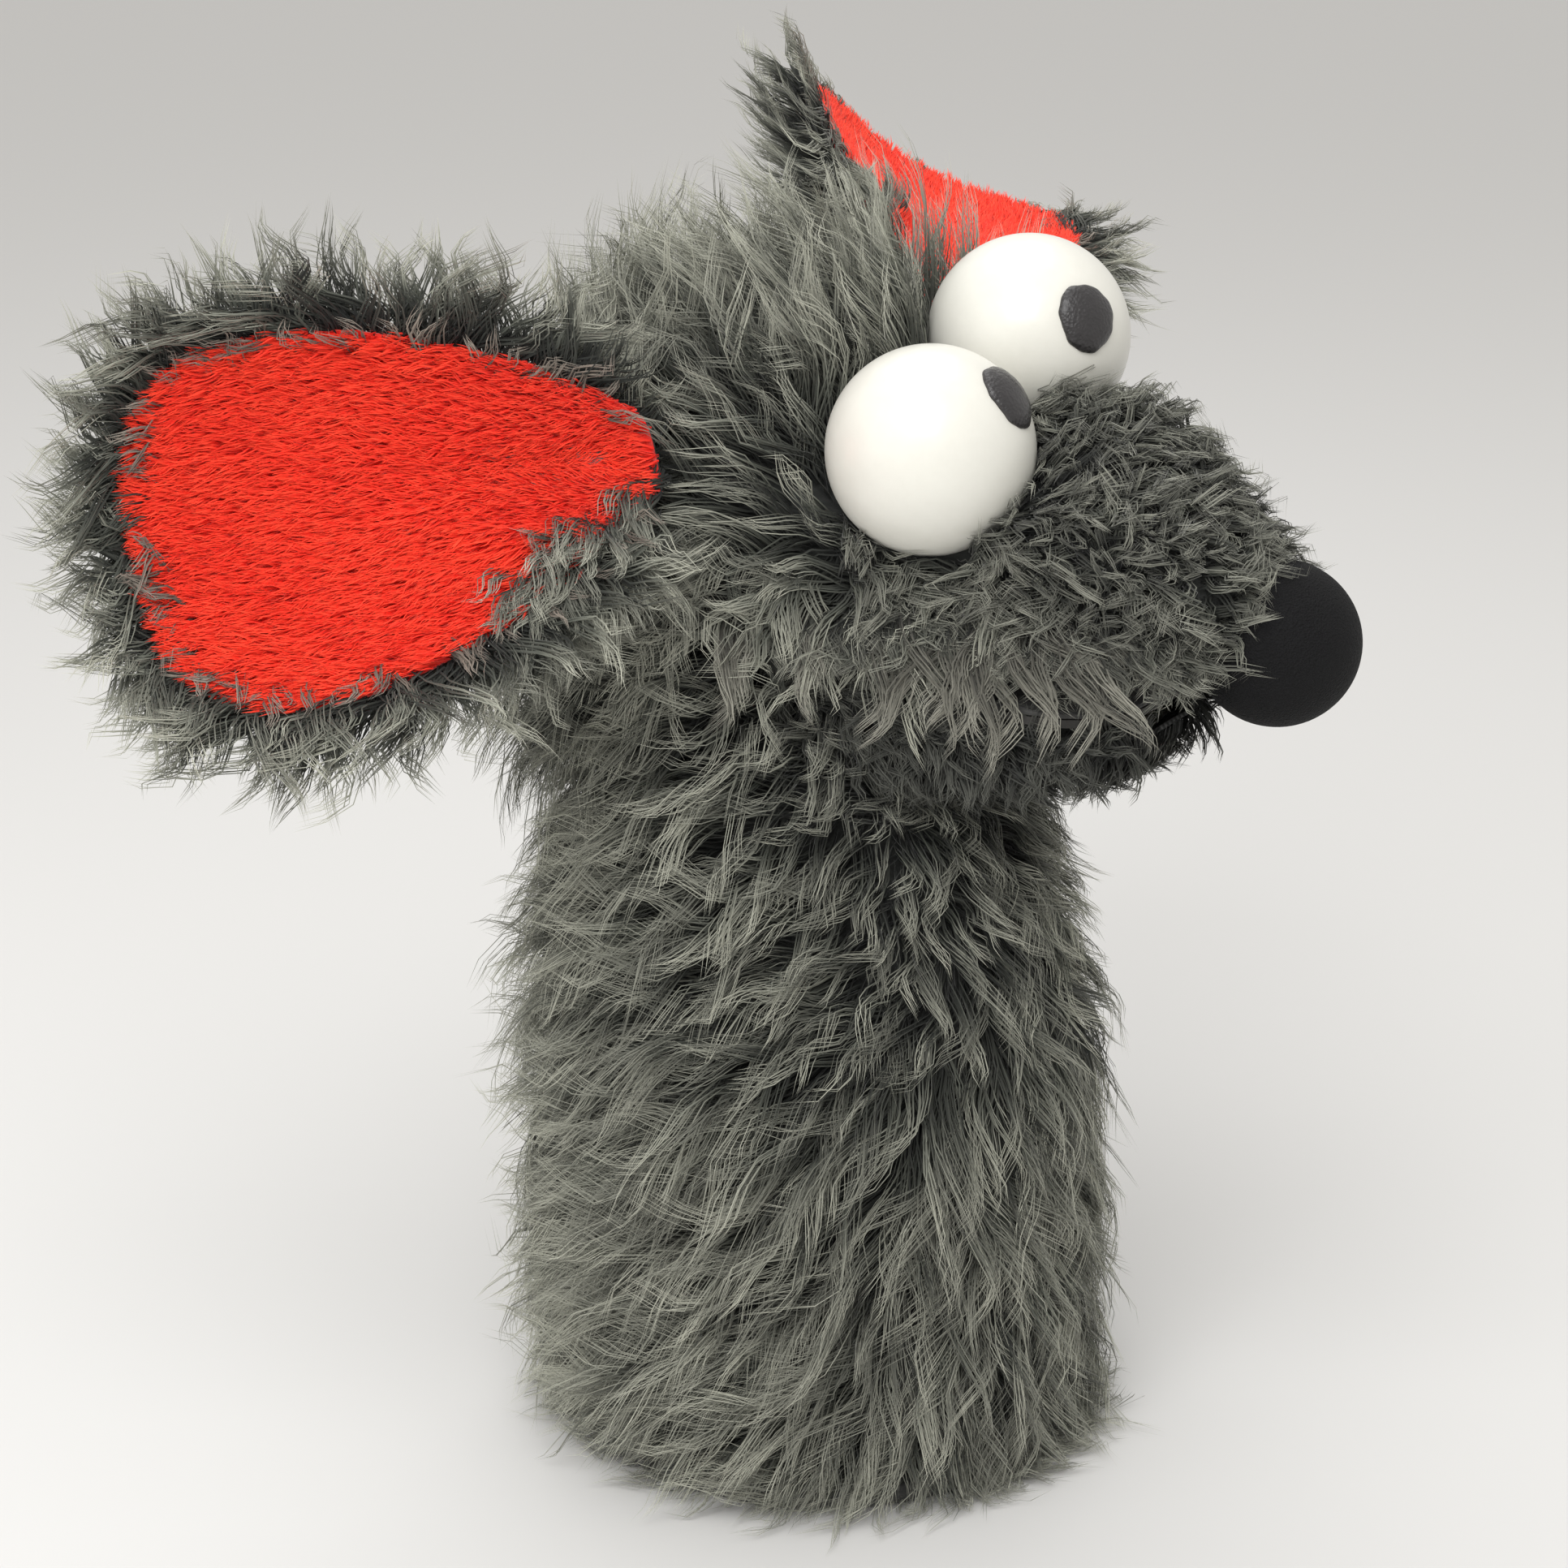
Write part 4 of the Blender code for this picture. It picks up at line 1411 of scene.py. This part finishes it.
@dataclass(frozen=True)
class HeadSizes:
    """The head's piles."""

    crown: Pile = Pile(
        850, 13, 7, (0.032, 0.052), 0.0086, 0.00048, lift=0.52, rise=0.25, droop=0.05, wave=0.14, waves=1.1,
        gather=0.89, frizz=0.0010, stray=0.4,
    )
    tuft: Pile = Pile(
        240, 16, 8, (0.036, 0.058), 0.0085, 0.00048, lift=0.80, rise=0.75, droop=0.0, wave=0.13, waves=1.1,
        gather=0.88, frizz=0.0010, stray=0.35, tone=(0.35, 1.0),
    )
    cheek: Pile = Pile(
        105, 14, 8, (0.020, 0.034), 0.0068, 0.00054, lift=0.42, rise=0.12, droop=0.45, wave=0.17, waves=1.3,
        gather=0.86, frizz=0.0008, stray=0.5, tone=(0.3, 1.0),
    )
    muzzle: Pile = Pile(
        1900, 9, 6, (0.010, 0.017), 0.0054, 0.00050, lift=0.60, rise=0.30, droop=0.05, wave=0.26, waves=1.6,
        gather=0.86, frizz=0.0007, stray=1.0, scatter_phase=5.0,
    )


def head_flow(points: Array, normals: Array) -> Array:
    """The way the crown's locks lie: up and back over the top, down and back on the sides.

    Args:
        points: root points.
        normals: cloth normals.

    Returns:
        Unit directions in the cloth.
    """
    local = points - HEAD
    up = np.clip((local[:, 2] - 0.012) / 0.035, -1.0, 1.0)
    wander = 0.35 * np.sin(80.0 * local[:, 1] + 60.0 * local[:, 0])
    out = 0.5 * np.sign(local[:, 0]) * (1.0 - np.abs(up)) + wander
    return flat_to(normals, axes(out, 0.75, 0.9 * up))


def muzzle_flow(points: Array, normals: Array) -> Array:
    """The way the muzzle's curls lie: out from the bridge and a little forward.

    Args:
        points: root points.
        normals: cloth normals.

    Returns:
        Unit directions in the cloth.
    """
    local = points - HEAD
    out = 0.5 * np.sin(230.0 * local[:, 1] + 120.0 * local[:, 2])
    back = -0.5 + 0.6 * np.cos(190.0 * local[:, 0] + 90.0 * local[:, 1])
    rise = -0.55 + 0.6 * np.sin(160.0 * local[:, 1] - 140.0 * local[:, 0])
    return flat_to(normals, axes(out, back, rise))


class Head(Part):
    """The head with its muzzle, mouth, eyes and nose."""

    eyes = {Side.RIGHT: (-0.030, -0.0465, 0.051), Side.LEFT: (0.022, -0.0445, 0.069)}
    nose = (0.004, -0.122, 0.007)
    eye_radius = 0.025
    eye_root_reach = 0.0245
    eye_hair_reach = 0.0256
    nose_radius = 0.020
    nose_reach = 0.0205
    pupil_aims = {Side.RIGHT: (0.10, -0.78, 0.60), Side.LEFT: (-0.40, -0.85, 0.34)}
    pupil_radius = 0.0084
    pupil_height = 0.0021
    pupil_seat = 0.0249
    pupil_sink = 0.0006

    def build(self) -> None:
        """Make every piece that rides on the head."""
        shape = HeadShape()
        self.crown(shape)
        self.muzzle(shape)
        self.lip_locks()
        for side in Side:
            self.eye(side)
        self.nose_ball()
        self.inside()

    def balls(self, eye_reach: float) -> list[tuple[tuple[float, float, float], float]]:
        """The balls that hair keeps clear of.

        Args:
            eye_reach: how far from an eye's centre the hair keeps.

        Returns:
            Each ball's centre in the head frame and how far the hair keeps from it.
        """
        return [(self.eyes[side], eye_reach) for side in Side] + [(self.nose, self.nose_reach)]

    def clear(self, roots: Array, spare: float = 0.0) -> Array:
        """Which roots are clear of the eyes and the nose.

        Args:
            roots: root points.
            spare: how much farther from them the roots keep.

        Returns:
            A mask.
        """
        good = np.ones(len(roots), bool)
        for centre, reach in self.balls(self.eye_root_reach):
            good &= np.linalg.norm(roots - HEAD - np.array(centre), axis=1) > reach + spare
        return good

    def part_round(self, points: Array) -> Array:
        """Push hairs out of the eyes and the nose.

        Args:
            points: hair points.

        Returns:
            The moved points.
        """
        moved = points.copy()
        for centre, reach in self.balls(self.eye_hair_reach):
            middle = HEAD + np.array(centre)
            away = moved - middle
            far = np.linalg.norm(away, axis=1, keepdims=True)
            moved = np.where(far < reach, middle + away / np.maximum(far, 1e-9) * reach, moved)
        return moved

    def crown(self, shape: HeadShape) -> None:
        """The long pile of the head."""
        size = HeadSizes()
        skin = shape.skin(0.060, -0.032, 0.0125)
        cap = shape.back_cap(0.0125)
        cloth = skin.cloth("head_cloth", self.finishes.backing)
        self.keep(cloth, Body.HEAD, "long_fur", ("head_fur",))
        back = self.keep(cap.cloth("head_back_cloth", self.finishes.backing), Body.HEAD, "long_fur")
        strands = Strands(size.crown, 41)
        for patch, count in ((skin, size.crown.locks), (cap, 160)):
            roots, normals = patch.scatter(count, strands.rng)
            good = self.clear(roots)
            roots, normals = roots[good], normals[good]
            length = np.clip(0.72 + 7.0 * (roots[:, 1] - HEAD[1] + 0.03), 0.55, 1.0)
            strands.grow(roots, normals, head_flow(roots, normals), length, patches(roots, 0.018, 0.3))
        strands.bend(self.part_round)
        pile = self.keep(self.pile(strands, "head_pile", self.finishes.shaggy), Body.HEAD, "long_fur")
        self.tufts(size, skin)
        self.cheeks(size, shape)

    def muzzle(self, shape: HeadShape) -> None:
        """The short curly pile of the muzzle."""
        size = HeadSizes()
        skin = shape.skin(-0.029, -0.1235, 0.0075, 44, 44)
        cloth = skin.cloth("muzzle_cloth", self.finishes.backing)
        self.keep(cloth, Body.HEAD, "short_fur", ("muzzle_fur",))
        strands = Strands(size.muzzle, 51)
        roots, normals = skin.scatter(size.muzzle.locks, strands.rng)
        good = self.clear(roots)
        roots, normals = roots[good], normals[good]
        shade = patches(roots, 0.009, 0.6) + patches(roots, 0.004, 0.4)
        strands.grow(roots, normals, muzzle_flow(roots, normals), 1.0 + 0.35 * shade, shade)
        strands.bend(self.part_round)
        pile = self.keep(self.pile(strands, "muzzle_pile", self.finishes.curly), Body.HEAD, "short_fur")

    def tufts(self, size: HeadSizes, skin: Skin) -> None:
        """Long locks that stand up on the crown.

        Args:
            size: the head's piles.
            skin: the cloth that they grow from.
        """
        strands = Strands(size.tuft, 43)
        roots, normals = skin.scatter(6 * size.tuft.locks, strands.rng)
        local = roots - HEAD
        near_top = (local[:, 2] > 0.045) & (local[:, 0] > -0.036) & (local[:, 0] < 0.052)
        good = self.clear(roots, 0.003) & near_top
        chosen = pick(good, size.tuft.locks, strands.rng)
        roots, normals = roots[chosen], normals[chosen]
        aim = axes(-0.20 + strands.rng.normal(scale=0.25, size=len(roots)), 0.35, 0.9)
        strands.grow(roots, normals, flat_to(normals, aim))
        strands.bend(self.part_round)
        self.keep(strands.piece("crown_tufts", self.finishes.shaggy), Body.HEAD, "long_fur")

    def cheeks(self, size: HeadSizes, shape: HeadShape) -> None:
        """Pale-tipped wavy locks on both cheeks.

        Args:
            size: the head's piles.
            shape: the head's outline.
        """
        strands = Strands(size.cheek, 47)
        skin = shape.skin(0.016, -0.078, 0.0070)
        roots, normals = skin.scatter(7 * size.cheek.locks, strands.rng)
        local = roots - HEAD
        high = np.interp(-local[:, 1], (-0.016, 0.03, 0.078), (0.030, 0.026, 0.022))
        on_cheek = (np.abs(local[:, 0]) > 0.02) & (local[:, 2] < high) & (local[:, 2] > -0.012)
        good = self.clear(roots, 0.006) & on_cheek
        chosen = pick(good, 2 * size.cheek.locks, strands.rng)
        roots, normals = roots[chosen], normals[chosen]
        back = 0.75 + strands.rng.normal(scale=0.35, size=len(roots))
        aim = axes(0.0, back, -0.55 + strands.rng.normal(scale=0.35, size=len(roots)))
        strands.grow(roots, normals, flat_to(normals, aim))
        strands.bend(self.part_round)
        self.keep(self.pile(strands, "cheek_locks", self.finishes.shaggy), Body.HEAD, "short_fur")

    def lip_locks(self) -> None:
        """The fringe along the upper lip, and the pale locks that hang from it."""
        fringe = Pile(
            1, 10, 5, (0.009, 0.016), 0.0050, 0.00052, lift=0.40, rise=0.05, droop=0.7, wave=0.20, waves=1.3,
            gather=0.8, frizz=0.0006, stray=0.7, scatter_phase=5.0,
        )
        accent = Pile(
            1, 22, 8, (0.022, 0.036), 0.0066, 0.00050, lift=0.38, rise=0.0, droop=0.7, wave=0.15, waves=1.1,
            gather=0.88, frizz=0.0007, stray=0.5, tone=(0.2, 1.0), scatter_phase=5.0,
        )
        rows = (
            ("upper_lip_fringe", fringe, 200, 62, 0.114, self.finishes.curly),
            ("lip_locks", accent, 24, 61, 0.086, self.finishes.pale),
        )
        for name, pile, count, seed, reach, finish in rows:
            strands = Strands(pile, seed)
            for sign in (-1.0, 1.0):
                y = -0.002 - reach * strands.rng.random(count) ** 0.85
                half = np.interp(
                    -y,
                    (0.0, 0.03, 0.06, 0.088, 0.10, 0.112, 0.119),
                    (0.052, 0.044, 0.036, 0.031, 0.026, 0.018, 0.002),
                )
                z = strands.rng.uniform(0.006, 0.014, count)
                roots = HEAD + axes(sign * half, y, z)
                normals = unit(axes(sign, -0.2 - 4.0 * np.abs(y), 0.0))
                forward = np.interp(-y, (0.0, 0.06, 0.075, 0.11), (-0.45, -0.10, 0.35, 0.6))
                aim = axes(0.0, -forward, -1.0)
                strands.grow(roots, normals, flat_to(normals, aim))
            strands.bend(self.part_round)
            self.keep(self.pile(strands, name, finish), Body.HEAD, "short_fur")
        self.nose_fringe()

    def nose_fringe(self) -> None:
        """Locks that lie over the top and the sides of the nose."""
        pile = Pile(
            1, 12, 6, (0.012, 0.020), 0.0050, 0.00052, lift=0.22, rise=0.0, droop=0.1, wave=0.15, waves=1.2,
            gather=0.85, frizz=0.0006, stray=0.5, scatter_phase=5.0,
        )
        strands = Strands(pile, 66)
        turn = np.linspace(0.15, math.pi - 0.45, 48)
        turn = turn + 0.04 * strands.rng.normal(size=turn.size)
        ring = np.stack((0.0175 * np.cos(turn), np.zeros_like(turn), 0.0165 * np.sin(turn)), axis=-1)
        roots = HEAD + ring + np.array((0.003, -0.109, 0.009))
        normals = unit(ring + np.array((0.0, -0.002, 0.0)))
        aim = np.tile(np.array((0.0, -1.0, 0.0)), (len(roots), 1))
        strands.grow(roots, normals, flat_to(normals, aim))
        strands.bend(self.part_round)
        self.keep(self.pile(strands, "nose_fringe", self.finishes.curly), Body.HEAD, "short_fur")

    def ball(self, name: str, centre: tuple, radius: float, material: bpy.types.Material) -> bpy.types.Object:
        """A smooth ball.

        Args:
            name: the piece's name.
            centre: its centre in the head frame.
            radius: its radius.
            material: its material.

        Returns:
            The piece.
        """
        bpy.ops.object.select_all(action="DESELECT")
        place = tuple(HEAD + np.array(centre))
        bpy.ops.mesh.primitive_ico_sphere_add(subdivisions=5, radius=radius, location=place)
        bpy.ops.object.transform_apply(location=True, rotation=True, scale=True)
        bpy.ops.object.shade_smooth()
        piece = bpy.context.object
        piece.name = name
        piece.data.name = name
        piece.data.materials.append(material)
        return piece

    def eye(self, side: Side) -> None:
        """An eye ball with its pupil.

        Args:
            side: which eye it is.
        """
        ball = self.ball(f"eye_smooth_{side.value}", self.eyes[side], self.eye_radius, self.finishes.eye)
        self.keep(ball, Body.HEAD, "eye_white", (f"eye_ball_{side.value}",))
        self.pupil(side)

    def pupil(self, side: Side) -> None:
        """A raised pupil with a slightly uneven edge, bent over its eye ball.

        Args:
            side: which eye it is on.
        """
        turn = Vector(self.pupil_aims[side]).normalized().to_track_quat("Z", "Y").to_matrix()
        bpy.ops.object.select_all(action="DESELECT")
        bpy.ops.mesh.primitive_uv_sphere_add(segments=64, ring_count=32, radius=1.0)
        piece = bpy.context.object
        co = np.empty(len(piece.data.vertices) * 3, np.float32)
        piece.data.vertices.foreach_get("co", co)
        co = co.reshape(-1, 3).astype(float)
        angle = np.arctan2(co[:, 1], co[:, 0])
        uneven = 1.0 + 0.030 * np.sin(3 * angle + 1.0) + 0.018 * np.sin(7 * angle)
        uneven = uneven + 0.010 * np.sin(13 * angle + 2.0)
        reach = np.hypot(co[:, 0] * 0.93, co[:, 1]) * self.pupil_radius * uneven
        bulge = self.pupil_height * np.sign(co[:, 2]) * np.abs(co[:, 2]) ** 0.7
        radius = self.pupil_seat + np.maximum(bulge, -self.pupil_sink)
        bent = reach / self.eye_radius
        direction = axes(np.cos(angle) * np.sin(bent), np.sin(angle) * np.sin(bent), np.cos(bent))
        world = direction * radius[:, None] @ np.array(turn.transposed()) + HEAD + np.array(self.eyes[side])
        piece.data.vertices.foreach_set("co", world.astype(np.float32).ravel())
        piece.data.update()
        piece.name = f"pupil_dome_{side.value}"
        piece.data.name = piece.name
        piece.data.materials.append(self.finishes.pupil)
        bpy.ops.object.shade_smooth()
        self.keep(piece, Body.HEAD, "pupil_black", (f"pupil_{side.value}",))

    def nose_ball(self) -> None:
        """The foam nose."""
        ball = self.ball("nose_foam", self.nose, self.nose_radius, self.finishes.nose)
        self.keep(ball, Body.HEAD, "nose_black", ("nose_ball",))

    def inside(self) -> None:
        """The stuffing, the linings, the pocket and the hinge tape."""
        for node in ("head_foam", "muzzle_foam"):
            self.stuffing(node, node.replace("foam", "stuffing"), Body.HEAD)
        for node in ("upper_mouth_lining", "finger_pocket", "mouth_hinge_tape"):
            self.lining(node, Body.HEAD)


class Jaw(Part):
    """The lower jaw."""

    curls = Pile(
        1150, 9, 5, (0.010, 0.018), 0.0050, 0.00055, lift=0.50, rise=0.15, droop=0.25, wave=0.13, waves=1.2,
        gather=0.75, frizz=0.0006, stray=0.7,
    )

    def build(self) -> None:
        """Make every piece that rides on the jaw."""
        skin = JawShape().skin(0.0070)
        cloth = self.keep(skin.cloth("jaw_cloth", self.finishes.backing), Body.JAW, "short_fur", ("jaw_fur",))
        strands = Strands(self.curls, 71)
        roots, normals = skin.scatter(self.curls.locks, strands.rng)
        local = roots - HEAD
        ahead = -0.35 + 0.5 * np.sin(170.0 * local[:, 1] + 90.0 * local[:, 0])
        aim = axes(0.4 * np.sin(150.0 * local[:, 1]), ahead, -1.0)
        strands.grow(roots, normals, flat_to(normals, aim))
        count = 150
        for sign in (-1.0, 1.0):
            y = -0.004 - 0.094 * strands.rng.random(count)
            half = np.interp(
                -y, (0.0, 0.03, 0.06, 0.08, 0.092, 0.098), (0.036, 0.037, 0.036, 0.031, 0.025, 0.016)
            )
            z = strands.rng.uniform(-0.013, -0.008, count)
            roots = HEAD + axes(sign * half, y, z + y * math.tan(JAW_PITCH))
            normals = unit(axes(sign, -3.0 * np.abs(y), 0.25))
            aim = axes(0.0, 0.5 * strands.rng.normal(size=count), 0.35)
            strands.grow(roots, normals, flat_to(normals, aim), 0.8)
        pile = self.keep(self.pile(strands, "jaw_pile", self.finishes.jaw), Body.JAW, "short_fur")
        self.stuffing("jaw_foam", "jaw_stuffing", Body.JAW)
        for node in ("lower_mouth_lining", "thumb_pocket"):
            self.lining(node, Body.JAW)


@dataclass(frozen=True)
class EarSizes:
    """The ear's piles."""

    plush: Pile = Pile(
        7400, 4, 3, (0.0055, 0.0085), 0.0026, 0.00056, lift=0.52, rise=0.30, droop=0.0, wave=0.04, waves=0.6,
        gather=0.35, frizz=0.0004, stray=0.22,
    )
    back: Pile = Pile(
        520, 13, 7, (0.024, 0.036), 0.0084, 0.00052, lift=0.40, rise=0.10, droop=0.10, wave=0.10, waves=1.1,
        gather=0.8, frizz=0.0009, stray=0.45,
    )
    rim: Pile = Pile(
        360, 13, 7, (0.018, 0.033), 0.0080, 0.00052, lift=0.32, rise=0.15, droop=0.08, wave=0.18, waves=1.2,
        gather=0.89, frizz=0.0009, stray=0.7,
    )
    root: Pile = Pile(
        90, 13, 7, (0.013, 0.022), 0.0065, 0.00050, lift=0.35, rise=0.10, droop=0.15, wave=0.16, waves=1.2,
        gather=0.88, frizz=0.0007, stray=0.45,
    )
    brown: Pile = Pile(
        190, 10, 5, (0.009, 0.016), 0.0055, 0.00052, lift=0.50, rise=0.15, droop=0.05, wave=0.16, waves=1.1,
        gather=0.82, frizz=0.0006, stray=0.7,
    )


class Ear(Part):
    """One ear of red plush with shaggy fur behind."""

    tip_trim = {Side.RIGHT: 0.0, Side.LEFT: 0.70}
    backward_share = 0.5

    def __init__(self, finishes: Finishes, room: Room, side: Side) -> None:
        """Keep the finishes, the room and the side.

        Args:
            finishes: every material.
            room: the box that the fur may fill.
            side: which ear it is.
        """
        super().__init__(finishes, room)
        self.side = side
        self.shape = EarShape(side)
        self.body = Body.EAR_RIGHT if side is Side.RIGHT else Body.EAR_LEFT

    def build(self) -> None:
        """Make the plush, the felt and the fur."""
        size, name = EarSizes(), self.side.value
        seed = 81 if self.side is Side.RIGHT else 91
        root, frame = self.shape.pose()
        middle = root + frame[0] * 0.5 * self.shape.length
        face = self.shape.skin(0.0012, 0.004)
        cloth = self.keep(
            face.cloth(f"ear_plush_cloth_{name}", self.finishes.red_backing), self.body, "red_plush",
            (f"ear_plush_{name}",),
        )
        strands = Strands(size.plush, seed)
        roots, normals = face.scatter(size.plush.locks, strands.rng)
        along = np.broadcast_to(frame[0], roots.shape) + 0.35 * unit(roots - middle)
        local = (roots - root) @ frame.T
        streaks = 0.18 * np.sin(local[:, 1] / 0.0060 + 2.0 * np.sin(local[:, 0] / 0.013) + local[:, 0] / 0.05)
        lobe = self.shape.lobe(local[:, 0], local[:, 1])
        before = self.shape.lobe(local[:, 0], local[:, 1] + 0.005)
        # The 0.5 * lobe term is a painted highlight on the raised lobe, and the -1.0 * (before - lobe) term
        # is painted shade in the crease beside it.
        shade = streaks + 0.5 * lobe - 1.0 * (before - lobe)
        strands.grow(roots, normals, flat_to(normals, along), 1.0, shade)
        plush = self.pile(strands, f"ear_plush_pile_{name}", self.finishes.red)
        self.keep(plush, self.body, "red_plush")

        behind = self.shape.skin(-0.0040, 0.004).facing(middle + frame[2])
        fur = self.keep(
            behind.cloth(f"ear_fur_cloth_{name}", self.finishes.backing), self.body, "long_fur",
            (f"ear_fur_{name}",),
        )
        strands = Strands(size.back, seed + 1)
        roots, normals = behind.scatter(size.back.locks, strands.rng)
        away = unit(roots - middle) + 0.5 * frame[0]
        length = self.trimmed((roots - root) @ frame[0])
        strands.grow(roots, normals, flat_to(normals, away), length, patches(roots, 0.018, 0.3))
        back = self.pile(strands, f"ear_back_pile_{name}", self.finishes.shaggy)
        self.keep(back, self.body, "long_fur")
        rows = (
            ("rim", size.rim, 0.007, self.finishes.shaggy),
            ("edge", size.brown, 0.002, self.finishes.brown),
        )
        for word, pile, reach, finish in rows:
            strands = Strands(pile, seed + len(word))
            edge = self.shape.skin(0.0005, reach)
            edge.points = edge.points[-3:]
            roots, normals = edge.scatter(pile.locks, strands.rng)
            keep = (roots - root) @ frame[0] > 0.008
            roots, normals = roots[keep], normals[keep]
            length = self.trimmed((roots - root) @ frame[0])
            normals = normals * np.where(strands.rng.random((len(roots), 1)) < self.backward_share, -1.0, 1.0)
            strands.grow(roots, normals, flat_to(normals, unit(roots - middle)), length)
            rim = self.pile(strands, f"ear_{word}_pile_{name}", finish)
            self.keep(rim, self.body, "long_fur")
        self.root_locks(size, face, seed + 5)
        felt = self.soft_copy(f"ear_felt_{name}", f"ear_felt_sheet_{name}", self.finishes.felt, 0.0005)
        self.keep(felt, self.body, "felt", (f"ear_felt_{name}",))

    def trimmed(self, along: Array) -> Array:
        """How long the locks are, as shares: shorter towards the tip of the left ear.

        Args:
            along: how far from the ear's root each lock grows.

        Returns:
            A factor for each lock.
        """
        return 1.0 - self.tip_trim[self.side] * np.clip((along - 0.085) / 0.030, 0.0, 1.0)

    def root_locks(self, size: EarSizes, face: Skin, seed: int) -> bpy.types.Object:
        """Grey locks over the outer half of the ear's root, where the red tapers away.

        Args:
            size: the ear's piles.
            face: the red side's cloth.
            seed: the random seed.

        Returns:
            The piece.
        """
        strands = Strands(size.root, seed)
        roots, normals = face.scatter(24 * size.root.locks, strands.rng)
        root, frame = self.shape.pose()
        local = (roots - root) @ frame.T
        covered = (local[:, 0] < 0.034) & (local[:, 1] > 0.003 + 0.50 * local[:, 0])
        chosen = pick(covered, size.root.locks, strands.rng)
        aim = np.tile(0.8 * frame[0] + 0.9 * frame[1], (len(chosen), 1))
        strands.grow(roots[chosen], normals[chosen], flat_to(normals[chosen], aim))
        name = f"ear_root_pile_{self.side.value}"
        return self.keep(self.pile(strands, name, self.finishes.shaggy), self.body, "long_fur")


# ---------------------------------------------------------------- stage


class Studio:
    """The camera, the lights and the floor. A lamp's row is its name, place, width and power."""

    place = (-0.7543, -0.4532, 0.472)
    lens = 82.9
    yaw = math.radians(0.69524)
    pitch = math.radians(18.7)
    lamps = (
        ("key", (-0.85, -0.30, 1.20), 0.8, 11.0),
        ("fill", (-1.1, 0.35, 0.7), 1.2, 3.4),
        ("top", (0.35, 0.3, 1.3), 0.9, 4.4),
    )

    def build(self) -> None:
        """Set them up."""
        data = bpy.data.cameras.new("camera")
        data.lens = self.lens
        data.sensor_width = 36.0
        camera = bpy.data.objects.new("camera", data)
        camera.location = tuple(SLEEVE_AXIS + np.array(self.place))
        heading = math.atan2(-self.place[1], -self.place[0]) + self.yaw
        level = math.cos(self.pitch)
        forward = Vector((math.cos(heading) * level, math.sin(heading) * level, -math.sin(self.pitch)))
        camera.rotation_euler = forward.to_track_quat("-Z", "Y").to_euler()
        bpy.context.scene.collection.objects.link(camera)
        bpy.context.scene.camera = camera
        for row in self.lamps:
            self.lamp(*row)
        self.floor()
        self.world()
        bpy.context.scene.view_settings.view_transform = "Standard"

    def lamp(self, name: str, place: tuple, size: float, power: float) -> None:
        """A soft area light aimed at the puppet.

        Args:
            name: its name.
            place: where it is.
            size: its width.
            power: watts.
        """
        data = bpy.data.lights.new(name, "AREA")
        data.size = size
        data.energy = power
        lamp = bpy.data.objects.new(name, data)
        lamp.location = place
        lamp.rotation_euler = (Vector((0, 0, 0.17)) - Vector(place)).to_track_quat("-Z", "Y").to_euler()
        bpy.context.scene.collection.objects.link(lamp)

    def floor(self) -> None:
        """A pale floor."""
        bpy.ops.object.select_all(action="DESELECT")
        bpy.ops.mesh.primitive_plane_add(size=30.0)
        plane = bpy.context.object
        plane.name = "floor"
        graph = Graph("pale_floor")
        plane.data.materials.append(graph.finish((0.72, 0.715, 0.705), 0.7))
        plane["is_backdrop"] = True

    def world(self) -> None:
        """Soft light from all round."""
        world = bpy.data.worlds.new("studio")
        world.use_nodes = True
        background = world.node_tree.nodes["Background"]
        background.inputs["Color"].default_value = (0.84, 0.825, 0.80, 1.0)
        background.inputs["Strength"].default_value = 0.85
        bpy.context.scene.world = world


def dress_nodes(frame: dict, finishes: Finishes) -> None:
    """Give the CAD nodes that stay their materials.

    Args:
        finishes: the materials.
    """
    for name in ("upper_mouth_plate", "lower_mouth_plate"):
        frame["nodes"][name].data.materials[0] = finishes.board
    for name in ("eye_peg_right", "eye_peg_left", "nose_peg"):
        frame["nodes"][name].data.materials[0] = finishes.wood


def main() -> None:
    """Build the whole puppet and its stage."""
    logging.basicConfig(level=logging.INFO, format="%(message)s")
    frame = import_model()
    cad_box = [list(corner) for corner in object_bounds()]
    finishes = Finishes()
    dress_nodes(frame, finishes)
    room = Room(*cad_box)
    parts = [kind(finishes, room) for kind in (Sleeve, Neck, Head, Jaw)]
    parts += [Ear(finishes, room, side) for side in Side]
    for part in parts:
        part.build()
        for piece in part.made:
            LOG.info("%s: %d faces", piece.name, len(piece.data.polygons))
    Studio().build()


if __name__ == "__main__":
    main()
